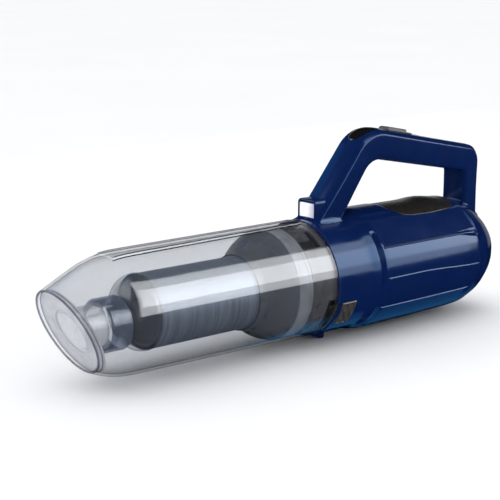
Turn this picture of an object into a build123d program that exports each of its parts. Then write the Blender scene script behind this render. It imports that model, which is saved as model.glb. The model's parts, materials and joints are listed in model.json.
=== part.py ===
"""Cyclonic hand vacuum with a clear dust cup. One STEP file per physical piece, in millimetres.

The machine lies along X: the nose points to -X and the battery end to +X, with +Z up.
While it is modelled, X = 0 is the cup's shoulder and Z = 0 is the cup's axis. "place" then
moves every piece so that the origin is under the middle of the machine, at the level it rests on.
Angles round the barrel are counted from the top, towards the -Y side.
"""
import os
from math import cos, radians, sin

from build123d import *

# --- Barrel -----------------------------------------------------------------------------------
CUP_R = 50.0  # outside radius of the clear cup at its shoulder
CUP_REAR_R = 51.0  # and at the joint with the housing
JOINT_X = 209.0  # where the cup meets the housing
CUP_WALL = 2.0
NOSE_SLOPE = 0.418  # how fast the nose cone narrows
LIP_X = -37.7  # the slanted mouth crosses the axis here
LIP_SLOPE = 0.475  # the mouth leans forward at the top
LIP_TOP_X = -51.3  # foremost point of the mouth
REAR_X = 437.0  # flat rear end of the housing
AXIS_HEIGHT = 56.0  # axis above the level that the fin stands on

# --- Inlet ------------------------------------------------------------------------------------
INLET_Z = -7.0  # inlet axis, below the cup's axis
INLET_R = 18.2  # outside radius of the tube
SOCKET_R = 16.2  # bore that accessory nozzles push into
SOCKET_X = (-24.0, -10.0)
CHAMBER_BORE_R = 16.8  # the tube before and behind the socket
TUBE_END_X = 2.0
COLLAR_R = 22.15
COLLAR_X = (-5.5, 13.4)
PLATE_SETBACK = 4.0  # nose plate, behind the mouth
PLATE_THICK = 2.0
FLAP_X = -6.0
FLAP_PIN_Z = INLET_Z + 14.6
FLAP_PIN_R = 0.6

# --- Filter -----------------------------------------------------------------------------------
FILTER_Z = -2.0
SCREEN_R = 31.5
SCREEN_X = (34.9, 142.0)
NOSE_FULL_X = 33.0  # where the domed nose reaches its full width
NOSE_SPREAD = 19.6  # half axis of the dome along the barrel
CORE_X = (37.5, 126.5)
PLEATS = 40
SKIRT_X = 166.5
FLANGE_R = 48.4  # frosted ring and seat
FLANGE_RIM_R = 49.2  # just inside the housing's wall
SEAT_X = 182.4
SLEEVE_R = (43.6, 46.0)
LUG_ANGLE = 17.5  # where a bayonet lug rests in its slot
LUG_HALF = 3.2
ENTRY_ANGLE = 39.5  # where the slot opens forward

# --- Housing ----------------------------------------------------------------------------------
FRONT_R = 51.7
BELT_R = 54.6  # widest, just behind the groove
SHELL = 2.4
GROOVE_X = (258.5, 265.5)
HANDLE_HALF = 15.0
GRIP_SLOPE = 0.199  # the grip falls towards the rear
GRIP_Z = 120.8  # top of the grip at GRIP_X
GRIP_X = 316.0
HANDLE_BEVEL = 3.5
LEG_REAR_X = 429.0
FIN_HALF = 12.0
GRILLE_R = 24.9

# --- Release buttons --------------------------------------------------------------------------
BUTTON_ANGLE = 120.5
BUTTON_X = (216.0, 232.5)
BUTTON_HALF = 12.4
LATCH_SLOT_X = (203.0, 206.8)

# --- Power unit -------------------------------------------------------------------------------
SHAFT_R = 2.5
FAN_R = 34.5
MOTOR_R = 26.0
MOTOR_X = (242.0, 292.0)
CELL_R = 9.1
CELL_X = (302.0, 367.0)
SLIDER_X = (311.0, 343.0)


def place(piece):
    """Move a piece from the modelling position to its place over the origin."""
    middle = (LIP_TOP_X + REAR_X) / 2
    return Pos(-middle, 0, AXIS_HEIGHT) * piece


def turned(points, axis_z=0.0, sweep=360):
    """Revolve an outline of (x, radius) points about a line along X."""
    outline = make_face(Polyline([(x, 0, axis_z + r) for x, r in points], close=True))
    return revolve(outline, Axis((0, 0, axis_z), (1, 0, 0)), sweep)


def ring(x, radii, axis_z=0.0):
    """A plain tube from x[0] to x[1], between two radii."""
    return turned([(x[0], radii[0]), (x[1], radii[0]), (x[1], radii[1]), (x[0], radii[1])], axis_z)


def disc(x, radius, axis_z=0.0):
    """A plain cylinder along X."""
    middle = Pos((x[0] + x[1]) / 2, 0, axis_z)
    return middle * Rot(Y=90) * Cylinder(radius, x[1] - x[0])


def sector(x, radii, angle, half):
    """Part of a tube: the stretch within +-half degrees of an angle round the barrel."""
    points = [(x[0], radii[0]), (x[1], radii[0]), (x[1], radii[1]), (x[0], radii[1])]
    return Rot(X=angle - half) * turned(points, 0.0, 2 * half)


def side_plate(points, half_width):
    """Extrude an outline of (x, z) points to both sides of the parting plane."""
    outline = make_face(Polyline([(x, 0, z) for x, z in points], close=True))
    return extrude(outline, half_width, dir=(0, 1, 0), both=True)


def spoke(angle, shape):
    """Stand a shape that points up at an angle round the barrel."""
    return Rot(X=angle) * shape


def before_mouth(setback):
    """Everything in front of a plane parallel to the slanted mouth."""
    plane = Plane(origin=(LIP_X + setback, 0, 0), x_dir=(0, 1, 0), z_dir=(-1, 0, -LIP_SLOPE))
    return plane * Box(200, 200, 120, align=(Align.CENTER, Align.CENTER, Align.MIN))


def cup_solid(inset):
    """The nose cone and barrel of the cup, taken in by a wall thickness."""
    front = -58.0
    return turned([
        (front, 0), (front, CUP_R + front * NOSE_SLOPE - inset), (0, CUP_R - inset),
        (JOINT_X - 0.1, CUP_REAR_R - inset), (JOINT_X - 0.1, 0),
    ])


def dust_cup():
    rail = make_face(Polyline([(1, -12), (204, -8.5), (204, 8.5), (1, 12)], close=True))
    rail_skin = turned([(1, 0), (1, CUP_R + 0.9), (204, CUP_REAR_R + 1.5), (204, 0)])
    cup = cup_solid(0) + extrude(rail, 60) & (cup_solid(0) + rail_skin)
    for side in (1, -1):
        cup += sector((207.0, 212.0), (49.9, CUP_REAR_R), side * 125, 19)
    cup -= turned([
        (-60, 0), (-60, CUP_R - 60 * NOSE_SLOPE - CUP_WALL - 0.2), (0, CUP_R - CUP_WALL - 0.2),
        (JOINT_X + 5, CUP_REAR_R - CUP_WALL), (JOINT_X + 5, 0),
    ])
    for side in (1, -1):
        cup -= sector(LATCH_SLOT_X, (46, 54), side * 124, 14)
    return cup - before_mouth(0)


def inlet_tube():
    tube = turned([
        (-60, 0), (-60, INLET_R), (-20, INLET_R), (TUBE_END_X, INLET_R + 1.2), (TUBE_END_X, 0),
    ], INLET_Z)
    plate = cup_solid(CUP_WALL + 0.3) & (before_mouth(PLATE_SETBACK + PLATE_THICK))
    tube = tube + plate - before_mouth(PLATE_SETBACK)
    tube -= disc((-70, SOCKET_X[0]), CHAMBER_BORE_R, INLET_Z)
    tube -= disc(SOCKET_X, SOCKET_R, INLET_Z)
    tube -= disc((SOCKET_X[1], TUBE_END_X + 1), CHAMBER_BORE_R, INLET_Z)
    return tube - pin_along_y(FLAP_X, FLAP_PIN_Z, FLAP_PIN_R, 9.0)


def pin_along_y(x, z, radius, half_length):
    return Pos(x, 0, z) * Rot(X=90) * Cylinder(radius, 2 * half_length)


def inlet_collar():
    collar = ring(COLLAR_X, (20.2, COLLAR_R), INLET_Z)
    collar += ring((COLLAR_X[0], COLLAR_X[0] + 2), (19.45, COLLAR_R), INLET_Z)
    window = Pos(8.2, 14, INLET_Z + 14) * Box(11, 22, 22)
    return collar - window


def inlet_flap():
    flap = disc((FLAP_X - 0.6, FLAP_X + 0.6), 16.0, INLET_Z)
    flap -= Pos(FLAP_X, 0, FLAP_PIN_Z + 10) * Box(4, 40, 22.4)
    barrel = pin_along_y(FLAP_X, FLAP_PIN_Z, 1.3, 4.6)
    web = Pos(FLAP_X, 0, FLAP_PIN_Z - 1.2) * Box(1.2, 9.2, 2.0)
    return flap + barrel + web - pin_along_y(FLAP_X, FLAP_PIN_Z, FLAP_PIN_R + 0.05, 10)


def flap_pin():
    return pin_along_y(FLAP_X, FLAP_PIN_Z, FLAP_PIN_R, 8.9)


def filter_cap():
    """Domed nose of the filter: half an ellipse's outline, turned, with a small flat front."""
    arc = [radians(angle) for angle in range(14, 91, 7)]
    outside = [(NOSE_FULL_X - NOSE_SPREAD * cos(a), 31.8 * sin(a)) for a in arc + [radians(90)]]
    inside = [(NOSE_FULL_X + 1.6 - NOSE_SPREAD * cos(a), 29 * sin(a)) for a in reversed(arc)]
    rim = [(34.8, 31.8), (34.8, 30.6), (37.3, 30.6), (37.3, 29)]
    front, back = outside[0][0], inside[-1][0]
    return turned([(front, 0)] + outside + rim + inside + [(back, 0)], FILTER_Z)


def filter_screen():
    return ring(SCREEN_X, (SCREEN_R - 0.8, SCREEN_R), FILTER_Z)


def filter_core():
    """Pleated paper ring: a star outside, round inside."""
    corners = []
    for index in range(2 * PLEATS):
        angle = radians(index * 180 / PLEATS)
        radius = 29.3 if index % 2 else 25.0
        corners.append((0, radius * sin(angle), radius * cos(angle)))
    length = CORE_X[1] - CORE_X[0]
    star = extrude(make_face(Polyline(corners, close=True)), length, dir=(1, 0, 0))
    return Pos(CORE_X[0], 0, FILTER_Z) * star - disc((CORE_X[0] - 1, CORE_X[1] + 1), 22.5, FILTER_Z)


def filter_skirt():
    """Flared skirt that carries the screen off-centre and meets the round flange."""
    stations = [(136, -2.0, 33.0), (143, -1.8, 34.2), (147, -1.5, 37.0), (153, -1.0, 41.8),
                (160, -0.5, 45.8), (SKIRT_X, 0.0, 48.0)]

    def flare(wall):
        circles = [Pos(x, 0, z) * Rot(Y=90) * Circle(r - wall) for x, z, r in stations]
        return loft(circles, ruled=True)

    return flare(0) - flare(1.45)


def filter_ring():
    return ring((SKIRT_X + 0.1, SEAT_X - 0.4), (46.45, FLANGE_R))


def filter_base():
    """Inner sleeve of the filter, with two bayonet lugs and the paper ring's rear plate."""
    base = ring((SKIRT_X + 1, 202.5), SLEEVE_R)
    base += ring((SKIRT_X + 1, SKIRT_X + 3), (SLEEVE_R[0], 46.4))
    for turn in (0, 180):
        base += sector((197.2, 202.3), (45.5, 48.1), LUG_ANGLE + turn, LUG_HALF)
    return base


def filter_end_ring():
    """Plate behind the paper ring, open in the middle for the clean air."""
    return ring((127, 129.5), (22.5, SCREEN_R - 0.9), FILTER_Z)


def filter_seat():
    """Dark ring under the rear of the cup. It holds the filter, the seal and the intake grille."""
    seat = turned([
        (SEAT_X, 46.3), (SEAT_X, FLANGE_R), (211.6, FLANGE_R), (211.6, FLANGE_RIM_R),
        (214, FLANGE_RIM_R),
        (214, 0), (212, 0), (212, 46.3),
    ])
    for step in range(12):
        seat -= sector((211, 215), (10, 23), step * 30, 11)
        seat -= sector((211, 215), (26, 38), step * 30 + 15, 12.5)
    for turn in (0, 180):
        seat -= sector((SEAT_X - 1, 203.2), (46, 49), ENTRY_ANGLE + turn, 5.5)
        seat -= sector((196.4, 203.2), (46, 49), (LUG_ANGLE + ENTRY_ANGLE) / 2 + turn, 15)
    for side in (1, -1):
        seat -= sector((201, 215), (41, FLANGE_R + 0.2), side * 122.5, 20)
    return seat


def cup_seal():
    return ring((209.5, 211.5), (FLANGE_R + 0.05, FLANGE_RIM_R))


def grip_line(x, lift=0.0):
    """Height of the grip's top at x, plus a lift."""
    return GRIP_Z - GRIP_SLOPE * (x - GRIP_X) + lift


def handle_block():
    """The handle filled in, with bevelled outer edges."""
    outline = FilletPolyline(
        (212, 0, 45.9), (280, 0, grip_line(280)), (LEG_REAR_X, 0, grip_line(LEG_REAR_X)),
        (LEG_REAR_X, 0, 10), (212, 0, 10), radius=[6, 36, 16, 8, 8], close=True)
    block = extrude(make_face(outline), HANDLE_HALF, dir=(0, 1, 0), both=True)
    rims = block.edges().group_by(Axis.Y)
    return chamfer(rims[0] + rims[-1], HANDLE_BEVEL)


def finger_opening(half_width, grow=0.0):
    """The gap for the fingers, between the grip and the barrel."""
    outline = FilletPolyline(
        (230 - grow, 0, 24), (281 - 0.8 * grow, 0, 100.8 + grow), (409.5 + grow, 0, 76.8 + grow),
        (409.5 + grow, 0, 20), radius=[2, 16, 4, 2], close=True)
    return extrude(make_face(outline), half_width, dir=(0, 1, 0), both=True)


def barrel_profile(inset):
    """Outline of the housing's barrel from the joint to the flat rear end."""
    return [
        (JOINT_X + 0.3, FRONT_R - inset), (251, FRONT_R + 0.1 - inset), (257, BELT_R - 1 - inset),
        (268, BELT_R - inset), (330, BELT_R - 0.5 - inset), (375, BELT_R - 1.4 - inset),
        (392.5, 52.4 - inset), (407.5, 47.3 - inset), (417.5, 41.8 - inset), (425, 37.2 - inset),
        (430, 33 - inset), (REAR_X, 27.5 - inset), (REAR_X, 0),
        (JOINT_X + 0.3, 0),
    ]


def lamp_box():
    """Block of the lamp hood, in front of the handle's front leg."""
    return Pos(228, 0, 55) * Box(22, 22.4, 28)


def hood_recess():
    return Pos(220.5, 0, 58.6) * Box(8, 18.8, 14.4)


def deck_outline():
    """Plan view of the smoked panel between the handle's legs."""
    edge = [(301, 0), (303, -10), (307, -18), (312, -25), (322, -28), (352, -28), (376, -26),
            (386, -20), (391, -10), (392, 0)]
    far = [(x, -y) for x, y in reversed(edge[1:-1])]
    return make_face(Polyline([(x, y, 40) for x, y in edge + far], close=True))


def deck_shell(bottom, top):
    """Part of the barrel's skin between two heights over its surface, under the deck outline."""
    rise = [(290, BELT_R + top), (340, BELT_R - 0.3 + top), (362, BELT_R + 0.8 + top),
            (380, BELT_R - 0.6 + top), (398, BELT_R - 4 + top)]
    floor = [(398, BELT_R + bottom - 5), (375, BELT_R + bottom - 1.4), (290, BELT_R + bottom)]
    return turned(rise + floor)


def grip_outline(grow=0.0):
    """Plan view of the teardrop insert on top of the grip."""
    near = [(267, 0), (270, -8), (280, -10.5), (292, -9), (308, -7.2), (352, -7), (355, 0)]
    points = [(x, y - grow if y else 0) for x, y in near]
    far = [(x, -y) for x, y in reversed(points[1:-1])]
    return make_face(Polyline([(x, y, 60) for x, y in points + far], close=True))


def screw_places():
    """x, z and half depth of each cross screw."""
    return [(258, 93, 13), (300, 110, 13), (398, 90.5, 13), (416.2, 60, 13), (240, -42, 20),
            (296, -44, 22), (380, -43, 20)]


def screw(x, z, half):
    shank = Pos(x, 0, z) * Rot(X=90) * Cylinder(1.4, 2 * half - 6)
    head = Pos(x, half - 2.0, z) * Rot(X=90) * Cylinder(2.7, 2.0)
    socket = Pos(x, half - 1.0, z) * Rot(X=90) * Cylinder(1.3, 1.2)
    return shank + head - socket


def housing_outside():
    handle = handle_block() - finger_opening(40)
    body = turned(barrel_profile(0)) + handle + lamp_box()
    saddle = turned([(262, 0), (262, BELT_R), (266, 55.8), (300, 55.8), (303, 0)])
    wedge = make_face(Polyline([(262, -19, 30), (302, -14, 30), (302, 14, 30), (262, 19, 30)],
                               close=True))
    body += saddle & extrude(wedge, 40)
    fin = side_plate([(210, -44), (210, -49.6), (226, -AXIS_HEIGHT), (229.5, -AXIS_HEIGHT),
                      (230.5, -44)], FIN_HALF)
    return body + fin


def housing_cavity():
    cavity = turned(barrel_profile(SHELL)[:-2] + [(REAR_X + 1, 24), (REAR_X + 1, 0), (205, 0),
                                                   (205, FRONT_R - 2.0)])
    inner = offset_handle()
    return cavity + inner


def offset_handle():
    """Space inside the handle's legs and grip, for the switch and its leads."""
    outline = FilletPolyline(
        (218, 0, 47), (278, 0, grip_line(278, -4.5)),
        (LEG_REAR_X - 3.5, 0, grip_line(LEG_REAR_X - 3.5, -3.5)), (LEG_REAR_X - 3.5, 0, 40),
        (400, 0, 30), (230, 0, 30), radius=[3, 30, 13, 3, 3, 3], close=True)
    block = extrude(make_face(outline), HANDLE_HALF - 3, dir=(0, 1, 0), both=True)
    return block - finger_opening(20, 3.2)


def housing_shell():
    shell = housing_outside()
    bosses = Part()
    for x, z, half in screw_places():
        bosses += Pos(x, 0, z) * Rot(X=90) * Cylinder(4, 2 * half)
    shell = shell - housing_cavity() + (bosses & housing_outside())
    for x, z, half in screw_places():
        shell -= Pos(x, 0, z) * Rot(X=90) * Cylinder(1.45, 2 * half - 5)
        shell -= Pos(x, half + 12, z) * Rot(X=90) * Cylinder(2.8, 30)
    for side in (1, -1):
        shell -= sector(GROOVE_X, (FRONT_R + 1.2, 60), side * 111, 69)
        shell -= sector((GROOVE_X[1] - 1, 392), (BELT_R - 2.2, 60), side * 60, 1.2)
        shell -= sector((209, 212.5), (49.25, 60), side * 125, 20)
        shell -= button_shape(side, 0.35, 36, 60)
    shell -= deck_shell(-1.6, 9) & extrude(deck_outline(), 30)
    shell -= grip_layer(-1.75, 0.15, 9)
    shell -= hood_recess()
    shell -= switch_channel()
    return shell - disc((REAR_X - 3, REAR_X + 1), GRILLE_R + 0.1)


def half_shell(side):
    """One clamshell half: side is -1 for -Y and +1 for +Y."""
    keep = Pos(190, side * 100.02, 20) * Box(700, 200, 400)
    return whole_housing & keep


def button_shape(side, clear, low, high):
    """A straight-sided block across the wall at a release button."""
    length = BUTTON_X[1] - BUTTON_X[0] + 2 * clear
    block = Pos((BUTTON_X[0] + BUTTON_X[1]) / 2, 0, (low + high) / 2) * Box(
        length, 2 * (BUTTON_HALF + clear), high - low)
    return spoke(side * BUTTON_ANGLE, block)


def release_button(side):
    """Push button with the barb that holds the cup by its window."""
    button = button_shape(side, 0, 45.2, 60) & disc((200, 240), FRONT_R + 0.7)
    arm = Pos(211.5, 0, 46.6) * Box(12, 18, 2.6)
    barb = Pos(205.0, 0, 46.9) * Box(3.0, 20, 2.2)
    latch = spoke(side * 122.5, arm + barb) & disc((200, 240), 48.2)
    return button + latch


def grip_layer(bottom, grow, top):
    """Slice of the grip's skin under the teardrop outline."""
    block = handle_block()
    slab = Pos(0, 0, top) * block - Pos(0, 0, bottom) * block
    return slab & extrude(grip_outline(grow), 80)


def tilted(x, lift, shape):
    """Set a shape on the grip's sloping top."""
    return Pos(x, 0, grip_line(x, lift)) * Rot(Y=11.25) * shape


def switch_channel():
    """Slot through the grip for the slider's stem."""
    return tilted(323, -3, Box(20, 5.6, 12))


def grip_insert():
    return grip_layer(-1.6, 0, 0.3) - switch_channel()


def switch_slider():
    centre = (SLIDER_X[0] + SLIDER_X[1]) / 2
    length = SLIDER_X[1] - SLIDER_X[0]
    slider = tilted(centre, 1.4, Box(length, 12.4, 1.2))
    slider += tilted(centre - 4, 2.9, Box(length - 8.5, 12.4, 2.6))
    for rib in range(6):
        slider -= tilted(SLIDER_X[0] + 5 + 3.2 * rib, 4.3, Box(1.2, 14, 1.2))
    return slider + tilted(327, -2.2, Box(9, 4.8, 7.0))


def switch_body():
    return tilted(322, -12.5, Box(30, 11, 10))


def lamp_lens():
    return Pos(218.3, 0, 58.6) * Box(2.6, 18.6, 14.2)


def lamp_board():
    board = Pos(222.6, 0, 58.6) * Box(1.2, 17, 12)
    return board + Pos(221.2, 0, 58.6) * Box(1.8, 5, 5)


def deck_panel():
    return deck_shell(-1.5, 0.5) & extrude(deck_outline(), 30)


def rear_grille():
    """Exhaust grille with the charging socket's hole in the middle."""
    grille = disc((REAR_X - 2.9, REAR_X), GRILLE_R)
    for step in range(18):
        grille -= sector((REAR_X - 4, REAR_X + 1), (9.5, 21.5), step * 20, 6)
    return grille - disc((REAR_X - 4, REAR_X + 1), 4.6)


def charging_socket():
    socket = disc((REAR_X - 14, REAR_X - 0.4), 4.5)
    return socket - disc((REAR_X - 11, REAR_X), 2.8)


def exhaust_foam():
    return ring((REAR_X - 8, REAR_X - 3.1), (8.5, 22.5))


def motor_shaft():
    return disc((216, 297), SHAFT_R)


def impeller():
    wheel = turned([(219, SHAFT_R), (219, 8), (228, 14), (231, FAN_R), (232.5, FAN_R),
                    (232.5, SHAFT_R)])
    for step in range(9):
        blade = Pos(226, 0, 20) * Rot(Z=28) * Box(11, 1.2, 27)
        wheel += spoke(step * 40, blade & ring((218, 232), (8, FAN_R)))
    return wheel


def fan_shroud():
    shell = turned([(215.2, 12), (215.2, 20), (217, 37.6), (236, 37.6), (236, 36), (218.4, 36),
                    (217, 20), (217, 12)])
    diffuser = ring((234.4, 236), (28, 36.5))
    return shell + diffuser


def motor_can():
    can = ring(MOTOR_X, (MOTOR_R - 1.4, MOTOR_R))
    can += ring((MOTOR_X[0], MOTOR_X[0] + 1.6), (5.0, MOTOR_R))
    can += ring((MOTOR_X[1] - 1.6, MOTOR_X[1]), (5.0, MOTOR_R))
    for step in range(6):
        can -= sector((MOTOR_X[0] - 1, MOTOR_X[0] + 2), (9, 20), step * 60, 14)
        can -= sector((MOTOR_X[1] - 2, MOTOR_X[1] + 1), (9, 20), step * 60, 14)
    return can


def armature():
    core = disc((250, 282), 17) - disc((240, 300), SHAFT_R)
    for step in range(8):
        core -= spoke(step * 45, Pos(266, 0, 15) * Box(40, 3, 8))
    return core + ring((281.5, 289.5), (SHAFT_R, 7))


def motor_magnet(side):
    return sector((248, 284), (18.2, MOTOR_R - 1.5), side * 90, 60)


def bearing(x):
    return ring(x, (SHAFT_R + 0.04, 4.95))


def mount_ring(x):
    """Rubber ring between the motor and the shell, with four fins."""
    mount = ring(x, (MOTOR_R + 0.05, 30))
    for step in range(4):
        mount += spoke(45 + step * 90, Pos((x[0] + x[1]) / 2, 0, 39.2) * Box(x[1] - x[0], 8, 19))
    return mount & disc(x, 49.1)


def cell_centres():
    around = [(18.6 * sin(radians(60 * k)), 18.6 * cos(radians(60 * k))) for k in range(6)]
    return [(0.0, 0.0)] + around


def battery_cells():
    group = Part()
    for y, z in cell_centres():
        group += Pos(0, y, z) * disc(CELL_X, CELL_R)
    return group


def cell_holder(x, inner):
    """End frame that holds the cells; inner is the depth that grips them."""
    frame = disc(x, 29.5)
    for y, z in cell_centres():
        frame -= Pos(0, y, z) * disc(inner, CELL_R + 0.05)
    for step in range(4):
        frame += spoke(45 + step * 90, Pos((x[0] + x[1]) / 2, 0, 39) * Box(x[1] - x[0], 6, 19.6))
    return frame & disc(x, 49)


def control_board():
    board = Pos(335, 0, -36) * Box(60, 40, 1.6)
    for x, y, length in ((315, -10, 10), (335, 8, 14), (354, -6, 8)):
        board += Pos(x, y, -38.5) * Box(length, 10, 3.6)
    return board


def wire(points, radius, bend):
    """A lead along straight runs joined by tangent arcs."""
    path = FilletPolyline(*points, radius=bend)
    start = Plane(origin=path @ 0, z_dir=path % 0)
    return sweep(start * Circle(radius), path=path)


def switch_lead():
    return wire([(339, 0, grip_line(339, -11.5)), (380, 0, 100.8), (422.5, 0, 93.5),
                 (422.5, 0, 52), (408, 5, 34), (373, 5, 33)], 1.4, 7)


def screws():
    group = Part()
    for x, z, half in screw_places():
        group += screw(x, z, half)
    return group


def write(name, piece):
    export_step(place(piece), f"parts/{name}.step")


os.makedirs("parts", exist_ok=True)
whole_housing = housing_shell()

PIECES = {
    "dust_cup": dust_cup, "inlet_tube": inlet_tube, "inlet_collar": inlet_collar,
    "inlet_flap": inlet_flap, "flap_pin": flap_pin, "filter_cap": filter_cap,
    "filter_screen": filter_screen, "filter_core": filter_core, "filter_skirt": filter_skirt,
    "filter_end_ring": filter_end_ring, "filter_ring": filter_ring, "filter_base": filter_base,
    "filter_seat": filter_seat, "cup_seal": cup_seal, "lamp_lens": lamp_lens,
    "lamp_board": lamp_board, "grip_insert": grip_insert, "switch_slider": switch_slider,
    "switch_body": switch_body, "switch_lead": switch_lead, "deck_panel": deck_panel,
    "rear_grille": rear_grille, "charging_socket": charging_socket,
    "exhaust_foam": exhaust_foam, "fan_shroud": fan_shroud, "impeller": impeller,
    "motor_shaft": motor_shaft, "motor_can": motor_can, "armature": armature,
    "battery_cells": battery_cells, "control_board": control_board, "housing_screws": screws,
}
for piece_name, make_piece in PIECES.items():
    write(piece_name, make_piece())

write("housing_left", half_shell(-1))
write("housing_right", half_shell(1))
write("release_button_left", release_button(1))
write("release_button_right", release_button(-1))
write("magnet_left", motor_magnet(1))
write("magnet_right", motor_magnet(-1))
write("bearing_front", bearing((242.2, 246.2)))
write("bearing_rear", bearing((290.4, 291.8)))
write("motor_mount_front", mount_ring((247, 253)))
write("motor_mount_rear", mount_ring((281, 287)))
write("cell_holder_front", cell_holder((299.5, 307), (CELL_X[0], 310)))
write("cell_holder_rear", cell_holder((362, 369.5), (360, CELL_X[1])))
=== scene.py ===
# %% [markdown]
# # A hand vacuum with a clear dust cup
# This lesson dresses a working model of a hand vacuum. The working model gives every piece its
# place and its size, and it decides what moves. Blender gives the pieces their final shape and
# finish. Each step first says what the piece is on the real machine, and why it is made this way.

# %% Load the working model
import json
import math

import bmesh
import bpy
import numpy as np
from mathutils import Matrix, Vector


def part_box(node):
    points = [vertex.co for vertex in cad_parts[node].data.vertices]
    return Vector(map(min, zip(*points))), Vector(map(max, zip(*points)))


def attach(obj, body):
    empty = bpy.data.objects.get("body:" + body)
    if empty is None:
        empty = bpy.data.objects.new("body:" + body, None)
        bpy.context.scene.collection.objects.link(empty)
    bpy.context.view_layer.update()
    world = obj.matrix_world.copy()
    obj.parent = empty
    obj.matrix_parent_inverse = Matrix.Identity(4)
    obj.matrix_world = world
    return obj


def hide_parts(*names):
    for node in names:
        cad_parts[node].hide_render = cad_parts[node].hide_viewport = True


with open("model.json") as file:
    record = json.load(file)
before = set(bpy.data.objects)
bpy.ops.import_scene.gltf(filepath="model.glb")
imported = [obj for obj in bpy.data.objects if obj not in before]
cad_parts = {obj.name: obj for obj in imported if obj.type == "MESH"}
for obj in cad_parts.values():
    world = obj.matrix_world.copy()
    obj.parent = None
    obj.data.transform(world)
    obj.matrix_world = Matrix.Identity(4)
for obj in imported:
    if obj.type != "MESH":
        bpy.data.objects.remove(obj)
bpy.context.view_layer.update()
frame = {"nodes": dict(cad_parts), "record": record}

# %% [markdown]
# ## One set of measures
# The barrel is what everything hangs on, so the lesson counts in millimetres along the barrel:
# x from the cup's shoulder to the rear, and z up from the barrel's axis. Two boxes of the working
# model say where that is, and "place" turns such a point into metres in the shared space.

# %% Measures along the barrel
MM = 0.001
LIP_AHEAD = 51.3  # the mouth's foremost point is this far in front of the shoulder
ring_low, ring_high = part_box("filter_ring")
axis_height = (ring_low[2] + ring_high[2]) / 2
shoulder_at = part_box("dust_cup")[0][0] + LIP_AHEAD * MM


def place(x, y, z):
    """A point counted in millimetres along the barrel, in metres in the shared space."""
    return (shoulder_at + x * MM, y * MM, axis_height + z * MM)


def measured(node):
    """A working piece's lowest and highest corner, in millimetres along the barrel."""
    low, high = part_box(node)
    shift = Vector((shoulder_at, 0, axis_height))
    return (Vector(low) - shift) / MM, (Vector(high) - shift) / MM


joint_x = measured("housing_left")[0].x
rear_x = measured("housing_left")[1].x
print(f"joint at {joint_x:.1f} mm, rear end at {rear_x:.1f} mm")

# %% [markdown]
# ## Ways to make a skin
# Most pieces here are moulded, so they are thin walls with rounded edges. "wall" joins an outer and
# an inner grid of points into one closed wall, and leaves out the cells that are windows. "lathe"
# turns an outline round the barrel, and "lofted" skins a row of closed loops. "rounded" softens an
# outline's corners first, because a real moulding never has a knife edge, and those small roundings
# are what catch the light.

# %% Helpers that make walls
def rounded(points, radius, steps=4, closed=True):
    """The same outline with each corner replaced by a short arc."""
    points = [np.array(p, float) for p in points]
    count = len(points)
    out = []
    for k, corner in enumerate(points):
        if not closed and k in (0, count - 1):
            out.append(tuple(corner))
            continue
        before, after = points[k - 1] - corner, points[(k + 1) % count] - corner
        reach = min(radius, 0.45 * np.linalg.norm(before), 0.45 * np.linalg.norm(after))
        start = corner + before / np.linalg.norm(before) * reach
        end = corner + after / np.linalg.norm(after) * reach
        for step in range(steps + 1):
            t = step / steps
            out.append(tuple((1 - t) ** 2 * start + 2 * t * (1 - t) * corner + t * t * end))
    return out


def wall(outer, inner, wrap=False, window=None):
    """Points and faces of a closed wall between two grids; window(i, j) leaves a cell open."""
    rows, columns = outer.shape[:2]
    points = [tuple(p) for p in outer.reshape(-1, 3)] + [tuple(p) for p in inner.reshape(-1, 3)]
    back = rows * columns
    last = columns if wrap else columns - 1
    solid = np.ones((rows - 1, last), bool)
    if window:
        for i in range(rows - 1):
            for j in range(last):
                solid[i, j] = not window(i, j)

    def at(i, j):
        return i * columns + j % columns

    faces = []
    for i in range(rows - 1):
        for j in range(last):
            if not solid[i, j]:
                continue
            a, b, c, d = at(i, j), at(i, j + 1), at(i + 1, j + 1), at(i + 1, j)
            faces.append((a, b, c, d))
            faces.append((d + back, c + back, b + back, a + back))
            left, right = (i, j - 1), (i, j + 1)
            edges = [((i - 1, j), a, b), ((i + 1, j), c, d), (left, d, a), (right, b, c)]
            for (p, q), u, v in edges:
                inside = 0 <= p < rows - 1 and (wrap or 0 <= q < last)
                if not inside or not solid[p, q % last]:
                    faces.append((v, u, u + back, v + back))
    return points, faces


def lathe(outline, centre_z=0.0, turns=144):
    """Points and faces of an outline of (x, radius) turned about a line along the barrel."""
    angles = np.arange(turns) * 2 * math.pi / turns
    points, faces = [], []
    for x, radius in outline:
        for a in angles:
            points.append((x, -radius * math.sin(a), centre_z + radius * math.cos(a)))
    count = len(outline)
    for k in range(count):
        for j in range(turns):
            a, b = k * turns + j, k * turns + (j + 1) % turns
            c, d = ((k + 1) % count) * turns + (j + 1) % turns, ((k + 1) % count) * turns + j
            faces.append((a, b, c, d))
    return points, faces


def lofted(loops):
    """Join closed loops of points one after another and cap both ends."""
    ring = len(loops[0])
    points = [tuple(p) for loop in loops for p in loop]
    faces = []
    for i in range(len(loops) - 1):
        for j in range(ring):
            n = (j + 1) % ring
            faces.append((i * ring + j, i * ring + n, (i + 1) * ring + n, (i + 1) * ring + j))
    faces.append(tuple(range(ring)))
    faces.append(tuple((len(loops) - 1) * ring + j for j in range(ring - 1, -1, -1)))
    return points, faces


def joined(*parts):
    """Several sets of points and faces as one."""
    points, faces = [], []
    for more_points, more_faces in parts:
        start = len(points)
        points += list(more_points)
        faces += [tuple(i + start for i in face) for face in more_faces]
    return points, faces


made = []


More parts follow.
